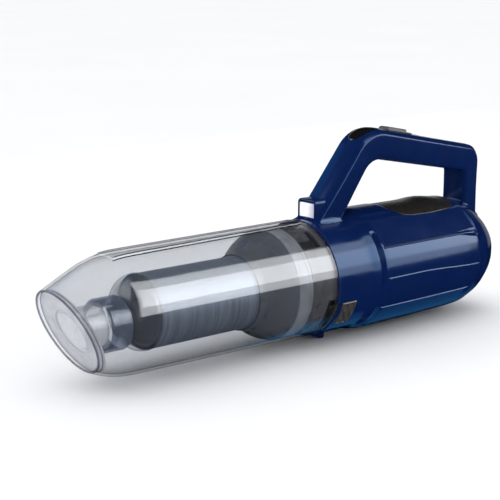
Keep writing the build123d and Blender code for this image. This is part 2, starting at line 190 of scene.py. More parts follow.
def piece(name, shape, body, stands_for, crease=38):
    """Make an object of a shape, tidy its mesh and hand it to a body of the working model."""
    points, faces = shape
    data = bpy.data.meshes.new(name)
    data.from_pydata([place(*p) for p in points], [], faces)
    grid = bmesh.new()
    grid.from_mesh(data)
    bmesh.ops.remove_doubles(grid, verts=grid.verts, dist=0.004 * MM)
    bmesh.ops.dissolve_degenerate(grid, dist=0.002 * MM, edges=grid.edges)
    bmesh.ops.recalc_face_normals(grid, faces=grid.faces)
    grid.to_mesh(data)
    grid.free()
    data.polygons.foreach_set("use_smooth", [True] * len(data.polygons))
    data.set_sharp_from_angle(angle=math.radians(crease))
    obj = bpy.data.objects.new(name, data)
    bpy.context.collection.objects.link(obj)
    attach(obj, body)
    if stands_for:
        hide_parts(*stands_for)
    made.append(obj)
    print(f"{name}: {len(data.polygons)} faces")
    return obj


# %% [markdown]
# ## Soft steps
# Grooves and ridges on a moulding have sloping sides. "rise" goes smoothly from 0 to 1 between two
# values, and "band" is 1 between two values and 0 outside, so that a groove is one line of sums.

# %% Soft steps
def rise(value, low, high):
    t = np.clip((value - low) / (high - low), 0, 1)
    return t * t * (3 - 2 * t)


def band(value, low, high, soft):
    return rise(value, low - soft, low + soft) * (1 - rise(value, high - soft, high + soft))


def steps_between(low, high, pitch, fine=()):
    """Grid lines from low to high, with (centre, half width, pitch) stretches of finer lines."""
    lines = list(np.linspace(low, high, int(round((high - low) / pitch)) + 1))
    for centre, half, small in fine:
        count = int(round(2 * half / small)) + 1
        lines += list(np.linspace(centre - half, centre + half, count))
    lines = np.array(sorted(v for v in lines if low <= v <= high))
    keep = [lines[0]]
    for v in lines[1:]:
        if v - keep[-1] > 0.02:
            keep.append(v)
    return np.array(keep)


# %% [markdown]
# ## The clear cup
# The cup is one thin moulding: a barrel, a cone for the nose and a mouth cut on a slant. A plain
# cone cut by a boolean would leave a sharp, jagged mouth, so the grid itself follows the slant: for
# each angle round the barrel the first ring lies on the slanted plane. The raised rail on top is
# part of the same grid, with lines of points that run along its edges.

# %% Cup measures
CUP_RADIUS = 50.0
CUP_WALL = 2.0
NOSE_SLOPE = 0.418
LIP_X = -37.7
LIP_LEAN = 0.475
JOINT_RADIUS = 51.0
RAIL_HEIGHT = 1.3
RAIL_X = (1.5, 204.0)
LATCH_X = (203.0, 206.8)
LATCH_ANGLES = (110, 138)  # degrees from the top, on each side


def cup_radius(x):
    """Outside radius of the cup, with a soft shoulder between cone and barrel."""
    cone = CUP_RADIUS + NOSE_SLOPE * x
    barrel = CUP_RADIUS + (JOINT_RADIUS - CUP_RADIUS) * x / joint_x
    soft = 2.2
    return -np.logaddexp(-cone / soft, -barrel / soft) * soft


def mouth_x(angle, wall_in=0.0, behind=0.0):
    """Where the slanted mouth, or a plane behind it, crosses the cone at an angle in radians."""
    base = CUP_RADIUS - wall_in + NOSE_SLOPE * (LIP_X + behind)
    radius = base / (1 + NOSE_SLOPE * LIP_LEAN * np.cos(angle))
    return LIP_X + behind - LIP_LEAN * radius * np.cos(angle)


# %% Cup grid
def cup_angles():
    """Angle lines: they crowd at the rail's edges and at the latch windows."""
    near = [0, 0.35, 0.7, 0.9, 0.97, 1.03, 1.12, 1.4]
    far = list(np.linspace(30, 180, 61)) + [105.6, 106.4, 109.7, 110.3, 137.7, 138.3, 143.6, 144.4]
    return near, sorted(far)


def cup_grid(inset):
    """Rows of points of the cup's wall, taken in by inset."""
    near, far = cup_angles()
    half = len(near) + len(far)
    nose = np.linspace(0, 1, 26) ** 0.9
    barrel = steps_between(0, joint_x - 0.5, 7, [(x, 1.5, 0.6) for x in RAIL_X])[1:]
    barrel = sorted(list(barrel) + [202.8, 203.2, 206.6, 207.0])
    rows = []
    for index in range(len(nose) + len(barrel)):
        row = []
        for side in (1, -1):
            for j in range(half):
                station = barrel[index - len(nose)] if index >= len(nose) else 0.0
                edge = math.degrees(math.asin((12 - 3.5 * station / RAIL_X[1]) / CUP_RADIUS))
                angle = near[j] * edge if j < len(near) else far[j - len(near)]
                a = math.radians(angle)
                if index < len(nose):
                    x = mouth_x(a, inset) * (1 - nose[index])
                else:
                    x = station
                    tongue = band(angle, 106, 144, 0.4) * 3.1
                    x += tongue * rise(x, joint_x - 1.2, joint_x - 0.5)
                radius = cup_radius(x) - inset
                if inset == 0:
                    across = band(angle / edge, -2, 1, 0.03)
                    radius += RAIL_HEIGHT * across * band(x, *RAIL_X, 0.5)
                row.append((x, -side * radius * math.sin(a), radius * math.cos(a)))
            if side == 1:
                first = row
                row = []
        rows.append(first + row[1:-1][::-1])
    return np.array(rows)


def cup_window(grid):
    """Says which cells are the latch windows, on both sides."""
    def is_open(i, j):
        x, y, z = grid[i:i + 2, [j, (j + 1) % grid.shape[1]]].reshape(-1, 3).mean(0)
        angle = math.degrees(math.atan2(abs(y), z))
        return LATCH_X[0] < x < LATCH_X[1] and LATCH_ANGLES[0] < angle < LATCH_ANGLES[1]
    return is_open


outer_cup = cup_grid(0.0)
piece("cup_skin", wall(outer_cup, cup_grid(CUP_WALL), True, cup_window(outer_cup)),
      "cup", ["dust_cup"])

# %% [markdown]
# ## The mouth's bead
# A clear moulding has a thicker bead round its mouth. It stiffens the edge, and it is what the eye
# reads as the edge, because thick plastic looks darker. It is a small round section swept along the
# slanted mouth.

# %% Mouth bead
def ring_on_mouth(inset, section_radius, behind=0.0, turns=160, sides=12):
    """A round bead that follows the mouth."""
    angles = np.arange(turns) * 2 * math.pi / turns
    x = mouth_x(angles, inset, behind)
    radius = cup_radius(x) - inset
    centre = np.stack([x, -radius * np.sin(angles), radius * np.cos(angles)], -1)
    along = np.roll(centre, -1, 0) - np.roll(centre, 1, 0)
    along /= np.linalg.norm(along, axis=1)[:, None]
    outward = np.stack([0 * x, -np.sin(angles), np.cos(angles)], -1)
    side_dir = np.cross(along, outward)
    points, faces = [], []
    for k in range(turns):
        for s in range(sides):
            a = s * 2 * math.pi / sides
            points.append(tuple(centre[k] + section_radius * (
                math.cos(a) * outward[k] + math.sin(a) * side_dir[k])))
    for k in range(turns):
        for s in range(sides):
            n = (k + 1) % turns
            faces.append((k * sides + s, k * sides + (s + 1) % sides,
                          n * sides + (s + 1) % sides, n * sides + s))
    return points, faces


piece("mouth_bead", joined(ring_on_mouth(0.9, 0.85, 0.4), ring_on_mouth(2.3, 0.4, 4.2)),
      "cup", [])

# %% [markdown]
# ## Rail edges and latch pocket
# Light bends at the edges of the raised rail, so they show as thin dark lines. Two hair-thin ridges
# in a dark clear finish are painted shade for those lines; the plastic there is no darker. Behind
# each latch window the seat is hollow, and a dark curved plate is painted shade for that hollow,
# which gives the window its depth.

# %% Rail edges
def ridge(half_front, half_rear, x_front, x_rear, width, base, proud):
    """Two thin ridges along the cup, one on each side of its top line."""
    shapes = []
    for side in (1, -1):
        outer, inner = [], []
        for x in np.linspace(x_front, x_rear, 40):
            middle = half_front + (half_rear - half_front) * (x - x_front) / (x_rear - x_front)
            row_out, row_in = [], []
            for v in (-0.5, -0.25, 0, 0.25, 0.5):
                y = middle + v * width
                radius = float(cup_radius(x)) + base
                top = radius + proud * (1 - (2 * v) ** 2)
                row_out.append((x, -side * y, math.sqrt(top ** 2 - y ** 2)))
                row_in.append((x, -side * y, math.sqrt((radius - 0.5) ** 2 - y ** 2)))
            outer.append(row_out)
            inner.append(row_in)
        shapes.append(wall(np.array(outer), np.array(inner)))
    return joined(*shapes)


# painted shade: the ridges' dark finish draws the lines that bent light makes at the rail's edges
piece("rail_edges", joined(ridge(12.5, 9.0, 1.5, 204, 0.6, 0, 0.35),
                           ridge(10.4, 7.2, 3, 203, 0.35, RAIL_HEIGHT, 0.2)),
      "cup", [])


POCKET_RADII = (48.75, 48.45)


def pocket(side):
    """A dark curved plate behind one latch window: painted shade for the hollow behind it."""
    outer, inner = [], []
    for x in (202.2, 204.8, 207.4):
        angles = [math.radians(side * a) for a in np.linspace(109, 139, 16)]
        for radius, rows in zip(POCKET_RADII, (outer, inner)):
            rows.append([(x, -radius * math.sin(a), radius * math.cos(a)) for a in angles])
    return wall(np.array(outer), np.array(inner))


# painted shade: a dark plate stands for the shade in the hollow behind each latch window
piece("latch_pocket_shade", joined(pocket(1), pocket(-1)), "housing", [])

# %% [markdown]
# ## The inlet
# Air enters through a tube that runs from the slanted mouth into the cup. A thin plate closes the
# space round the tube, so that the dirt stays in. Tube and plate are one moulding. A collar round
# the tube's end turns the air sideways, and that is what makes it whirl round the filter.

# %% Inlet tube and plate
INLET_Z = -7.0
INLET_RADIUS = 18.2
SOCKET_RADIUS = 16.2
TUBE_END = 2.0
PLATE_BEHIND = (4.0, 6.0)  # the nose plate lies this far behind the mouth
TURNS = 120


def slant_x(z, behind):
    """Where a plane behind the slanted mouth is at a height z."""
    return LIP_X + behind - LIP_LEAN * z


def tube_wall():
    angles = np.arange(TURNS) * 2 * math.pi / TURNS
    rows_out, rows_in = [], []
    for t in np.linspace(0, 1, 14):
        row_out, row_in = [], []
        for a in angles:
            for radius, row in ((INLET_RADIUS, row_out), (SOCKET_RADIUS, row_in)):
                front = slant_x(INLET_Z + radius * math.cos(a), PLATE_BEHIND[0])
                x = front + t * (TUBE_END - front)
                flare = 1.2 * rise(x, -20, TUBE_END) if radius == INLET_RADIUS else 0.6 * t
                r = radius + flare
                row.append((x, -r * math.sin(a), INLET_Z + r * math.cos(a)))
        rows_out.append(row_out)
        rows_in.append(row_in)
    return wall(np.array(rows_out), np.array(rows_in), True)


def nose_plate():
    angles = np.arange(TURNS) * 2 * math.pi / TURNS
    faces_at = []
    for behind in PLATE_BEHIND:
        rows = []
        for t in np.linspace(0, 1, 12):
            row = []
            for a in angles:
                hole = INLET_RADIUS - 0.4
                inner = np.array([-hole * math.sin(a), INLET_Z + hole * math.cos(a)])
                x_edge = mouth_x(a, CUP_WALL + 0.2, behind)
                radius = cup_radius(x_edge) - CUP_WALL - 0.2
                outer = np.array([-radius * math.sin(a), radius * math.cos(a)])
                y, z = inner + t * (outer - inner)
                dish = 0.9 * math.sin(math.pi * t) ** 2
                row.append((slant_x(z, behind + dish), y, z))
            rows.append(row)
        faces_at.append(np.array(rows))
    return wall(faces_at[0], faces_at[1], True)


piece("inlet_skin", tube_wall(), "cup", ["inlet_tube"])
piece("nose_plate", nose_plate(), "cup", [])

# %% Collar at the tube's end
COLLAR_FRONT, COLLAR_REAR = measured("inlet_collar")[0].x, measured("inlet_collar")[1].x
COLLAR_RADIUS = 22.15


collar_outline = rounded([
    (COLLAR_FRONT, 19.5), (COLLAR_FRONT, COLLAR_RADIUS), (COLLAR_REAR, COLLAR_RADIUS),
    (COLLAR_REAR, 20.4), (COLLAR_FRONT + 2, 20.4), (COLLAR_FRONT + 2, 19.5)], 0.5)
piece("collar_skin", lathe(collar_outline, INLET_Z, TURNS), "cup", ["inlet_collar"])

# %% [markdown]
# ## The filter
# Behind the inlet stands the filter: a domed smoky cap with a dark plate inside it, a metal screen
# with pleated paper behind it, a flared skirt and a frosted ring. They are turned parts, so they are
# made on the lathe. The screen sits a little below the barrel's axis and the ring is on it, so the
# skirt is drawn as rings whose centres move up as they grow.

# %% Filter
FILTER_Z = -2.0
SCREEN_RADIUS = 31.5
screen_low, screen_high = measured("filter_screen")
cap_x = measured("filter_cap")[0].x

NOSE_FULL_X, NOSE_SPREAD = 33.0, 19.6  # the dome is half an ellipse along the barrel
NOSE_RADIUS, LINING_RADIUS = 31.8, 29.0
dome = np.radians(np.linspace(14, 90, 40))
nose = [(NOSE_FULL_X - NOSE_SPREAD * math.cos(a), NOSE_RADIUS * math.sin(a)) for a in dome]
lining = [(NOSE_FULL_X + 1.6 - NOSE_SPREAD * math.cos(a), LINING_RADIUS * math.sin(a))
          for a in dome[::-1]]
bead = [(screen_low.x - 1.4, NOSE_RADIUS), (screen_low.x - 1.1, NOSE_RADIUS + 0.3),
        (screen_low.x - 0.5, NOSE_RADIUS + 0.3), (screen_low.x - 0.1, NOSE_RADIUS)]
lip = [(screen_low.x - 0.1, 30.6), (screen_low.x + 2.4, 30.6), (screen_low.x + 2.4, LINING_RADIUS)]
cap_outline = [(cap_x, 0.01)] + nose + bead + lip + lining + [(lining[-1][0], 0.01)]
piece("cap_skin", lathe(cap_outline, FILTER_Z), "filter", ["filter_cap"])
plate_x = screen_low.x + 0.4
plate_outline = rounded([(plate_x, 0.01), (plate_x, 9), (plate_x + 0.6, 10), (plate_x + 0.6, 27),
                         (plate_x, 28), (plate_x, 30.5), (plate_x + 1.8, 30.5),
                         (plate_x + 1.8, 0.01)], 0.3)
piece("cap_plate", lathe(plate_outline, FILTER_Z), "filter", [])

screen_outline = rounded([
    (screen_low.x, SCREEN_RADIUS - 0.8), (screen_low.x, SCREEN_RADIUS),
    (screen_low.x + 3, SCREEN_RADIUS), (screen_low.x + 3.3, SCREEN_RADIUS - 0.25),
    (screen_high.x - 8.4, SCREEN_RADIUS - 0.25), (screen_high.x - 8, SCREEN_RADIUS),
    (screen_high.x, SCREEN_RADIUS), (screen_high.x, SCREEN_RADIUS - 0.8)], 0.2)
piece("screen_skin", lathe(screen_outline, FILTER_Z), "filter", ["filter_screen"])


def skirt_wall():
    """Rings that grow and rise from the screen to the frosted ring."""
    stations = [(136, -2.0, 33.0), (140, -1.9, 33.2), (143, -1.8, 34.0), (147, -1.5, 36.8),
                (153, -1.0, 41.7), (157, -0.7, 44.2), (161, -0.4, 46.2), (166.4, 0.0, 48.1)]
    xs, zs, rs = (np.array(v, float) for v in zip(*stations))
    fine = np.linspace(xs[0], xs[-1], 40)
    outer, inner = [], []
    for x in fine:
        z, r = np.interp(x, xs, zs), np.interp(x, xs, rs)
        for radius, rows in ((r, outer), (r - 1.4, inner)):
            rows.append([(x, -radius * math.sin(a), z + radius * math.cos(a))
                         for a in np.arange(144) * 2 * math.pi / 144])
    return wall(np.array(outer), np.array(inner), True)


piece("skirt_skin", skirt_wall(), "filter", ["filter_skirt"])

frost_low, frost_high = measured("filter_ring")
frost_outline = rounded([(frost_low.x, 46.4), (frost_low.x, 48.4), (frost_low.x + 3, 48.4),
                         (frost_low.x + 3.5, 48.0), (frost_high.x - 3.5, 48.0),
                         (frost_high.x - 3, 48.4), (frost_high.x, 48.4), (frost_high.x, 46.4)], 0.3)
piece("frost_skin", lathe(frost_outline), "filter", ["filter_ring"])

# %% [markdown]
# ## The housing's barrel
# The housing is two moulded halves that meet along the middle. Its barrel is a turned shape with
# grooves, a crease and facets, which are small changes of radius. So each half is a fine grid, and
# every detail is a sum of soft steps in x and in the angle from the top. Grid lines crowd where a
# detail is, so its sides stay crisp and the rest stays light.

# %% Barrel profile
HOUSING_WALL = 2.4
PANEL_END = 392.0
barrel_points = [(joint_x - 0.1, 51.7), (250, 51.8), (257, 53.5), (268, 54.6), (330, 54.1),
                 (375, 53.2), (PANEL_END, 52.4), (407.5, 47.5), (417.5, 42.0), (425, 37.4),
                 (430, 33.4), (rear_x - 0.6, 27.9), (rear_x, 27.0)]
profile_x = np.linspace(joint_x - 0.1, rear_x, 1200)
profile_r = np.interp(profile_x, *zip(*barrel_points))
spread = np.exp(-0.5 * (np.arange(-24, 25) * (profile_x[1] - profile_x[0]) / 1.5) ** 2)
profile_r = np.convolve(np.pad(profile_r, 24, mode="edge"), spread / spread.sum(), "valid")


def barrel_radius(x):
    return np.interp(x, profile_x, profile_r)


# %% Barrel details
FACET = (31, 44.7, 58.4)  # a flat strip beside the top: its two edges and its middle, degrees


def facet_drop(angle, radius):
    """How much a flat strip lies below the round skin."""
    low, middle, high = FACET
    half = math.radians((high - low) / 2)
    flat = radius * math.cos(half) / np.cos(np.radians(angle - middle))
    return np.where((angle > low) & (angle < high), radius - flat, 0.0)


BELT_X = 262.0  # the groove round the barrel
PANEL_START = 267.0
LINE_ANGLE = 60  # the groove above the side panel
CREASE_ANGLE = 90
RIDGE_ANGLE = 119.6


def barrel_detail(x, angle):
    """How far the skin stands proud of the plain profile; the angle is in degrees."""
    # the belt groove, and the flat strip beside the top
    around = rise(angle, 41, 46) * (1 - 0.7 * rise(angle, 90, 104))
    out = -2.3 * np.clip(1 - np.abs(x - BELT_X) / 3.4, 0, 1) * around
    out -= facet_drop(angle, barrel_radius(x)) * band(x, PANEL_START - 0.5, PANEL_END, 1.2)
    # the line above the side panel, which opens into a wedge at the rear
    split = rise(x, 366, PANEL_END)
    middle, half = LINE_ANGLE + 0.9 * split, 1.5 + 2.8 * split
    cut = np.clip(1.12 - np.abs(angle - middle) / half, 0, 1)
    out -= 1.5 * cut * band(x, PANEL_START + 0.2, PANEL_END, 0.6)
    # the raised crease at half height, and its start at the belt
    drift = CREASE_ANGLE + 3.7 * rise(x, 310, PANEL_END)
    crease = np.exp(-((angle - drift) / 0.5) ** 2)
    out += 0.5 * crease * band(x, PANEL_START, PANEL_END - 1, 0.5)
    start = np.exp(-((angle - CREASE_ANGLE) / 1.0) ** 2) * np.exp(-((x - 268.5) / 1.6) ** 2)
    out += 0.35 * start
    # the lower ridge, with a flat facet under it
    facet = rise(angle, RIDGE_ANGLE, RIDGE_ANGLE + 1) * (1 - rise(angle, 124, 156))
    fade = band(x, 264, 384, 2.0)
    out -= 1.2 * facet * fade
    out += 1.0 * np.exp(-((angle - RIDGE_ANGLE) / 0.5) ** 2) * fade
    # the pad on top behind the handle's front leg, and the step at the panel's rear
    out += 0.9 * band(x, 264, 303, 2.0) * (1 - rise(angle, 19, 24))
    step = rise(x, PANEL_END - 0.4, PANEL_END + 0.8) * (1 - rise(x, 398, 406))
    out -= 0.9 * step * band(angle, 64.6, 116, 0.5)
    return out


# %% Barrel grid
BUTTON_ANGLE = 120.5
BUTTON_X = (216.0, 232.5)
WINDOW_HALF = 14.7
WINDOW_GAP = 0.35
NOTCH_END = 212.5  # the latch arms pass through a notch in the front edge
NOTCH_ANGLES = (105.3, 144.7)


def barrel_half(side):
    """One half of the barrel as a closed wall; side is 1 towards -Y and -1 towards +Y."""
    window_x = (BUTTON_X[0] - WINDOW_GAP, BUTTON_X[1] + WINDOW_GAP)
    xs = steps_between(joint_x + 0.1, rear_x, 3.4, [
        (BELT_X, 4.2, 0.35), (267.2, 0.9, 0.3), (264, 2, 0.8),
        (303, 2, 0.8), (PANEL_END, 1.2, 0.3), (NOTCH_END, 0.3, 0.3), (rear_x - 0.6, 0.6, 0.3),
        (window_x[0], 0.2, 0.2), (window_x[1], 0.2, 0.2), (254, 4, 1.0)])
    angles = steps_between(0.12, 179.88, 2.4, [
        (43, 3, 1.0), (60.7, 5.0, 0.3), (FACET[0], 0.5, 0.4), (FACET[2], 0.5, 0.3), (92, 4, 0.25),
        (120, 1.4, 0.2), (21.5, 2.5, 0.6),
        (NOTCH_ANGLES[0], 0.5, 0.25), (NOTCH_ANGLES[1], 0.5, 0.25),
        (BUTTON_ANGLE - WINDOW_HALF, 0.3, 0.3), (BUTTON_ANGLE + WINDOW_HALF, 0.3, 0.3)])
    across, down = np.meshgrid(angles, xs)
    radius = barrel_radius(down) + barrel_detail(down, across)
    inner = np.minimum(barrel_radius(down) - HOUSING_WALL, radius - 0.8)
    turn = np.radians(across)
    grids = [np.stack([down, -side * r * np.sin(turn), r * np.cos(turn)], -1)
             for r in (radius, inner)]

    def window(i, j):
        x, angle = (xs[i] + xs[i + 1]) / 2, (angles[j] + angles[j + 1]) / 2
        button = window_x[0] < x < window_x[1] and abs(angle - BUTTON_ANGLE) < WINDOW_HALF
        notch = x < NOTCH_END and NOTCH_ANGLES[0] < angle < NOTCH_ANGLES[1]
        return button or notch

    return wall(grids[0], grids[1], False, window)


print("barrel radius at the belt:", round(float(barrel_radius(300)), 1), "mm")

# %% [markdown]
# ## The handle
# The handle is a loop with a bevelled outside and a rounded inside, and it is as wide as a palm
# needs. It is easiest to describe by its two outlines seen from the side, the outer and the finger
# opening. At each station the section between them is drawn, from the parting line over the bevel
# and down the side to the round inner edge. Where it meets the barrel it swells a little, as a
# moulded fillet does.

# %% Handle outlines
GRIP_X, GRIP_Z, GRIP_FALL = 316.0, 120.8, 0.199
LEG_REAR = 429.0
HANDLE_HALF = 15.0
BEVEL = 3.6
PARTING = 0.07


def grip_top(x, lift=0.0):
    return GRIP_Z - GRIP_FALL * (x - GRIP_X) + lift


def bent(points, radii, counts):
    """Walk along straight runs and round bends; counts gives the points of each stretch."""
    points = [np.array(p, float) for p in points]
    cursor, out = points[0], []
    for k, radius in enumerate(radii):
        corner = points[k + 1]
        arrive = (corner - points[k]) / np.linalg.norm(corner - points[k])
        leave = (points[k + 2] - corner) / np.linalg.norm(points[k + 2] - corner)
        turn = math.acos(np.clip(arrive @ leave, -1, 1))
        reach = radius * math.tan(turn / 2)
        start, end = corner - arrive * reach, corner + leave * reach
        run = counts[2 * k]
        out += [cursor + (start - cursor) * i / run for i in range(run)]
        inward = leave - arrive
        inward /= np.linalg.norm(inward)
        centre = corner + inward * radius / math.cos(turn / 2)
        swing = counts[2 * k + 1]
        for i in range(swing):
            t = i / swing
            ray = (start - centre) * math.sin((1 - t) * turn) + (end - centre) * math.sin(t * turn)
            out.append(centre + ray / math.sin(turn))
        cursor = end
    run = counts[-1]
    out += [cursor + (points[-1] - cursor) * i / run for i in range(run + 1)]
    return np.array(out)


COUNTS = (44, 26, 40, 16, 40)
outer_line = bent([(208.8, 42), (280, grip_top(280)), (LEG_REAR, grip_top(LEG_REAR)),
                   (LEG_REAR, 24)], (36, 16), COUNTS)
inner_line = bent([(241.5, 40), (284, 100.2), (409.5, 76.8), (409.5, 40)], (22, 4.5), COUNTS)
print("grip is", round(float(np.linalg.norm(outer_line[90] - inner_line[90])), 1), "mm thick")


# %% Handle section
def section(height):
    """Half of the handle's section: (side, up) points from the outer parting line round."""
    crown = 0.9
    inner_round = 5
    points = [(PARTING, height + crown - 0.15), (PARTING + 0.2, height + crown)]
    points += [(t * 11.2, height + crown * (1 - t * t)) for t in (0.25, 0.5, 0.75)]
    points += rounded([(10.4, height + 0.12), (11.4, height), (HANDLE_HALF, height - BEVEL),
                       (HANDLE_HALF, height - BEVEL - 2)], 0.7, 3, closed=False)[1:]
    points += [(HANDLE_HALF + 0.15, height * 0.5 + 1)]
    for t in np.linspace(0, 90, 8):
        a = math.radians(t)
        points.append((HANDLE_HALF - inner_round + inner_round * math.cos(a),
                       inner_round - inner_round * math.sin(a)))
    points += [(5, -0.25), (PARTING, -0.3)]
    return points


def swell(x, y, z, centre):
    """Widen the handle near the barrel, like a fillet."""
    over = math.hypot(y, z) - float(barrel_radius(min(max(x, joint_x), rear_x)))
    reach = 2.6
    if over >= reach:
        return x, y, z
    lift = reach - math.sqrt(max(reach ** 2 - (reach - max(over, 0.0)) ** 2, 0))
    away = Vector((x, y, 0)) - Vector((centre[0], 0, 0))
    away = away.normalized() * lift if away.length > 0 else away
    return x + away.x, y + away.y, z


def handle_half(side):
    """One half of the loop; side is 1 towards -Y and -1 towards +Y."""
    rows = []
    for outer, inner in zip(outer_line, inner_line):
        up = outer - inner
        height = float(np.linalg.norm(up))
        up = up / height
        middle = (outer + inner) / 2
        row = []
        for sideways, lift in section(height):
            x, z = inner + up * lift
            x, y, z = swell(x, sideways, z, middle)
            row.append((x, -side * max(y, PARTING), z))
        rows.append(row)
    return lofted(rows)


# %% [markdown]
# ## Lamp hood and fin
# A small hood at the foot of the handle holds the work lamp, and a fin under the joint keeps the
# round machine from rolling. Both are moulded with the housing. The hood is a loft through rounded
# frames: each frame is a little smaller or further back than the last, which gives a soft outer
# edge and a recess for the lens. It is one piece, so no parting line crosses the lens.

# %% Hood and fin
HOOD_FRONT = 217.0
HOOD_HALF = 11.2
HOOD_LOW, HOOD_HIGH = 46.0, 69.2


def hood_frame(inset, x, corner, low):
    """A rounded frame, all the way round, at one x; low is its lower edge."""
    half, high = HOOD_HALF - inset, HOOD_HIGH - inset
    small = min(corner, 1.2)
    near = []
    for t in np.linspace(90, 0, 8):
        a = math.radians(t)
        near.append((half - corner + corner * math.cos(a), high - corner + corner * math.sin(a)))
    for t in np.linspace(0, -90, 5):
        a = math.radians(t)
        near.append((half - small + small * math.cos(a), low + small + small * math.sin(a)))
    return [(x, -y, z) for y, z in near] + [(x, y, z) for y, z in near[::-1]]


def hood_shape():
    """The hood from its rear, over the front edge and back into the recess."""
    front = HOOD_FRONT
    return lofted([
        hood_frame(0.0, 242, 3.4, HOOD_LOW), hood_frame(0.0, front + 1.6, 3.4, HOOD_LOW),
        hood_frame(0.15, front + 0.7, 3.3, HOOD_LOW), hood_frame(0.5, front + 0.2, 3.0, HOOD_LOW),
        hood_frame(1.0, front, 2.6, HOOD_LOW + 2), hood_frame(1.5, front + 0.1, 2.0, 50.6),
        hood_frame(1.7, front + 0.5, 1.8, 50.9), hood_frame(1.7, front + 3.0, 1.8, 50.9)])


piece("lamp_hood", hood_shape(), "housing", [], crease=32)


def plate(outline, near_y, far_y, soft):
    """Thicken an outline of (x, z) points between two y values, with soft edges."""
    middle = np.mean(np.array(outline), 0)

    def ring_at(y, shrink):
        out = []
        for x, z in outline:
            ray = np.array([x, z]) - middle
            length = np.linalg.norm(ray)
            px, pz = middle + ray * max(length - shrink, 0) / length
            out.append((px, y, pz))
        return out

    sign = 1 if far_y > near_y else -1
    layers = [ring_at(near_y, soft), ring_at(near_y + sign * soft * 0.3, soft * 0.3),
              ring_at(near_y + sign * soft, 0), ring_at(far_y - sign * soft, 0),
              ring_at(far_y - sign * soft * 0.3, soft * 0.3), ring_at(far_y, soft)]
    return lofted(layers)


fin_outline = rounded([(209.8, -44), (210.2, -49.8), (225.6, -55.9), (229.4, -55.9),
                       (230.4, -44)], 0.7)

# %% Housing halves
for side, word in ((1, "left"), (-1, "right")):
    fin = plate(fin_outline, -side * PARTING, -side * 12.0, 0.5)
    piece(f"housing_skin_{word}", joined(barrel_half(side), handle_half(side), fin),
          "housing", [f"housing_{word}"], crease=32)

# %% [markdown]
# ## Trim on the handle
# A glossy black insert fills a teardrop in the top of the grip, and the switch slides along it. The
# insert follows the same outer outline as the handle, so it is a grid laid along that line, with a
# width for each station and a crown across. It swells at the front bend, where the thumb rests.

# %% Grip insert
INSERT_X = (270.5, 355.4)
insert_widths = [(INSERT_X[0], 0.05), (271.2, 3.6), (273, 6.2), (277, 8.6), (284, 9.6), (292, 9.0),
                 (302, 7.8), (312, 7.1), (345, 6.9), (352, 6.4), (354.6, 4.5), (INSERT_X[1], 0.05)]


def insert_wall():
    """A strip along the grip's top line, as wide as the table says."""
    line = np.array([p for p in outer_line if 262 < p[0] < 360 and p[1] > 100])
    stations = np.linspace(*INSERT_X, 90)
    extra = [270.6, 270.8, 271.0, 271.4, 272, 355.2, 355.0, 354.7]
    stations = np.array(sorted(list(stations) + extra))
    heights = np.interp(stations, line[:, 0], line[:, 1])
    slope = np.gradient(heights, stations)
    outer, inner = [], []
    for x, z, m in zip(stations, heights, slope):
        normal = np.array([-m, 1]) / math.hypot(m, 1)
        width = np.interp(x, *zip(*insert_widths))
        swollen = 1.1 * math.exp(-((x - 284) / 11) ** 2)
        row_out, row_in = [], []
        for v in (-1, -0.97, -0.9, -0.75, -0.5, -0.25, 0, 0.25, 0.5, 0.75, 0.9, 0.97, 1):
            crown = 0.9 * (1 - (v * width / 11.2) ** 2)
            lift = crown - 0.2 + (0.5 + swollen) * (1 - abs(v) ** 3.5) * min(1, width / 4)
            px, pz = np.array([x, z]) + normal * lift
            row_out.append((px, v * width, pz))
            qx, qz = np.array([x, z]) - normal * 1.4
            row_in.append((qx, v * width, qz))
        outer.append(row_out)
        inner.append(row_in)
    return wall(np.array(outer), np.array(inner))


piece("insert_skin", insert_wall(), "housing", ["grip_insert"], crease=50)

# %% [markdown]
# ## The switch
# The slider is a small grey block with a step and cross ribs for the thumb. Seen from the side it
# is one outline, so it is drawn as that outline, tilted to the grip's slope, and given thickness.

# %% Switch slider
tilt = math.atan(GRIP_FALL)


def on_grip(along, lift, base_x):
    """A point given along the grip and above it, from a base point on the grip's top line."""
    return (base_x + along * math.cos(tilt) + lift * math.sin(tilt),
            grip_top(base_x) - along * math.sin(tilt) + lift * math.cos(tilt))


def slider_outline():
    base = 311.0
    top, ledge, floor = 4.2, 1.9, 0.75
    shape = [(0, floor), (0, 2.6), (1.6, top - 0.5), (3.4, top)]
    for rib in range(6):
        start = 4.2 + rib * 3.1
        shape += [(start, top), (start + 0.3, top - 1.0), (start + 1.3, top - 1.0),
                  (start + 1.6, top)]
    shape += [(23.6, top), (24.4, ledge + 0.3), (25, ledge), (31.0, ledge), (32.2, floor + 0.3),
              (32.2, floor)]
    return rounded([on_grip(a, b, base) for a, b in shape], 0.25, 2)


def strip(outline, half, soft):
    """Thicken a long outline evenly: each layer is offset along its own corner normals."""
    ring = np.array(outline)
    ahead, behind = np.roll(ring, -1, 0) - ring, ring - np.roll(ring, 1, 0)
    tangent = ahead / np.linalg.norm(ahead, axis=1)[:, None]
    tangent += behind / np.linalg.norm(behind, axis=1)[:, None]
    tangent /= np.linalg.norm(tangent, axis=1)[:, None]
    normal = np.stack([tangent[:, 1], -tangent[:, 0]], -1)
    area = np.sum(ring[:, 0] * np.roll(ring[:, 1], -1) - np.roll(ring[:, 0], -1) * ring[:, 1])
    normal = -normal * np.sign(area)
    layers = [(-half, soft), (-half + 0.3 * soft, 0.3 * soft), (-half + soft, 0),
              (half - soft, 0), (half - 0.3 * soft, 0.3 * soft), (half, soft)]
    return lofted([[(p[0], y, p[1]) for p in ring + normal * inset] for y, inset in layers])


piece("slider_skin", strip(slider_outline(), 6.2, 0.35), "slider", ["switch_slider"],
      crease=30)

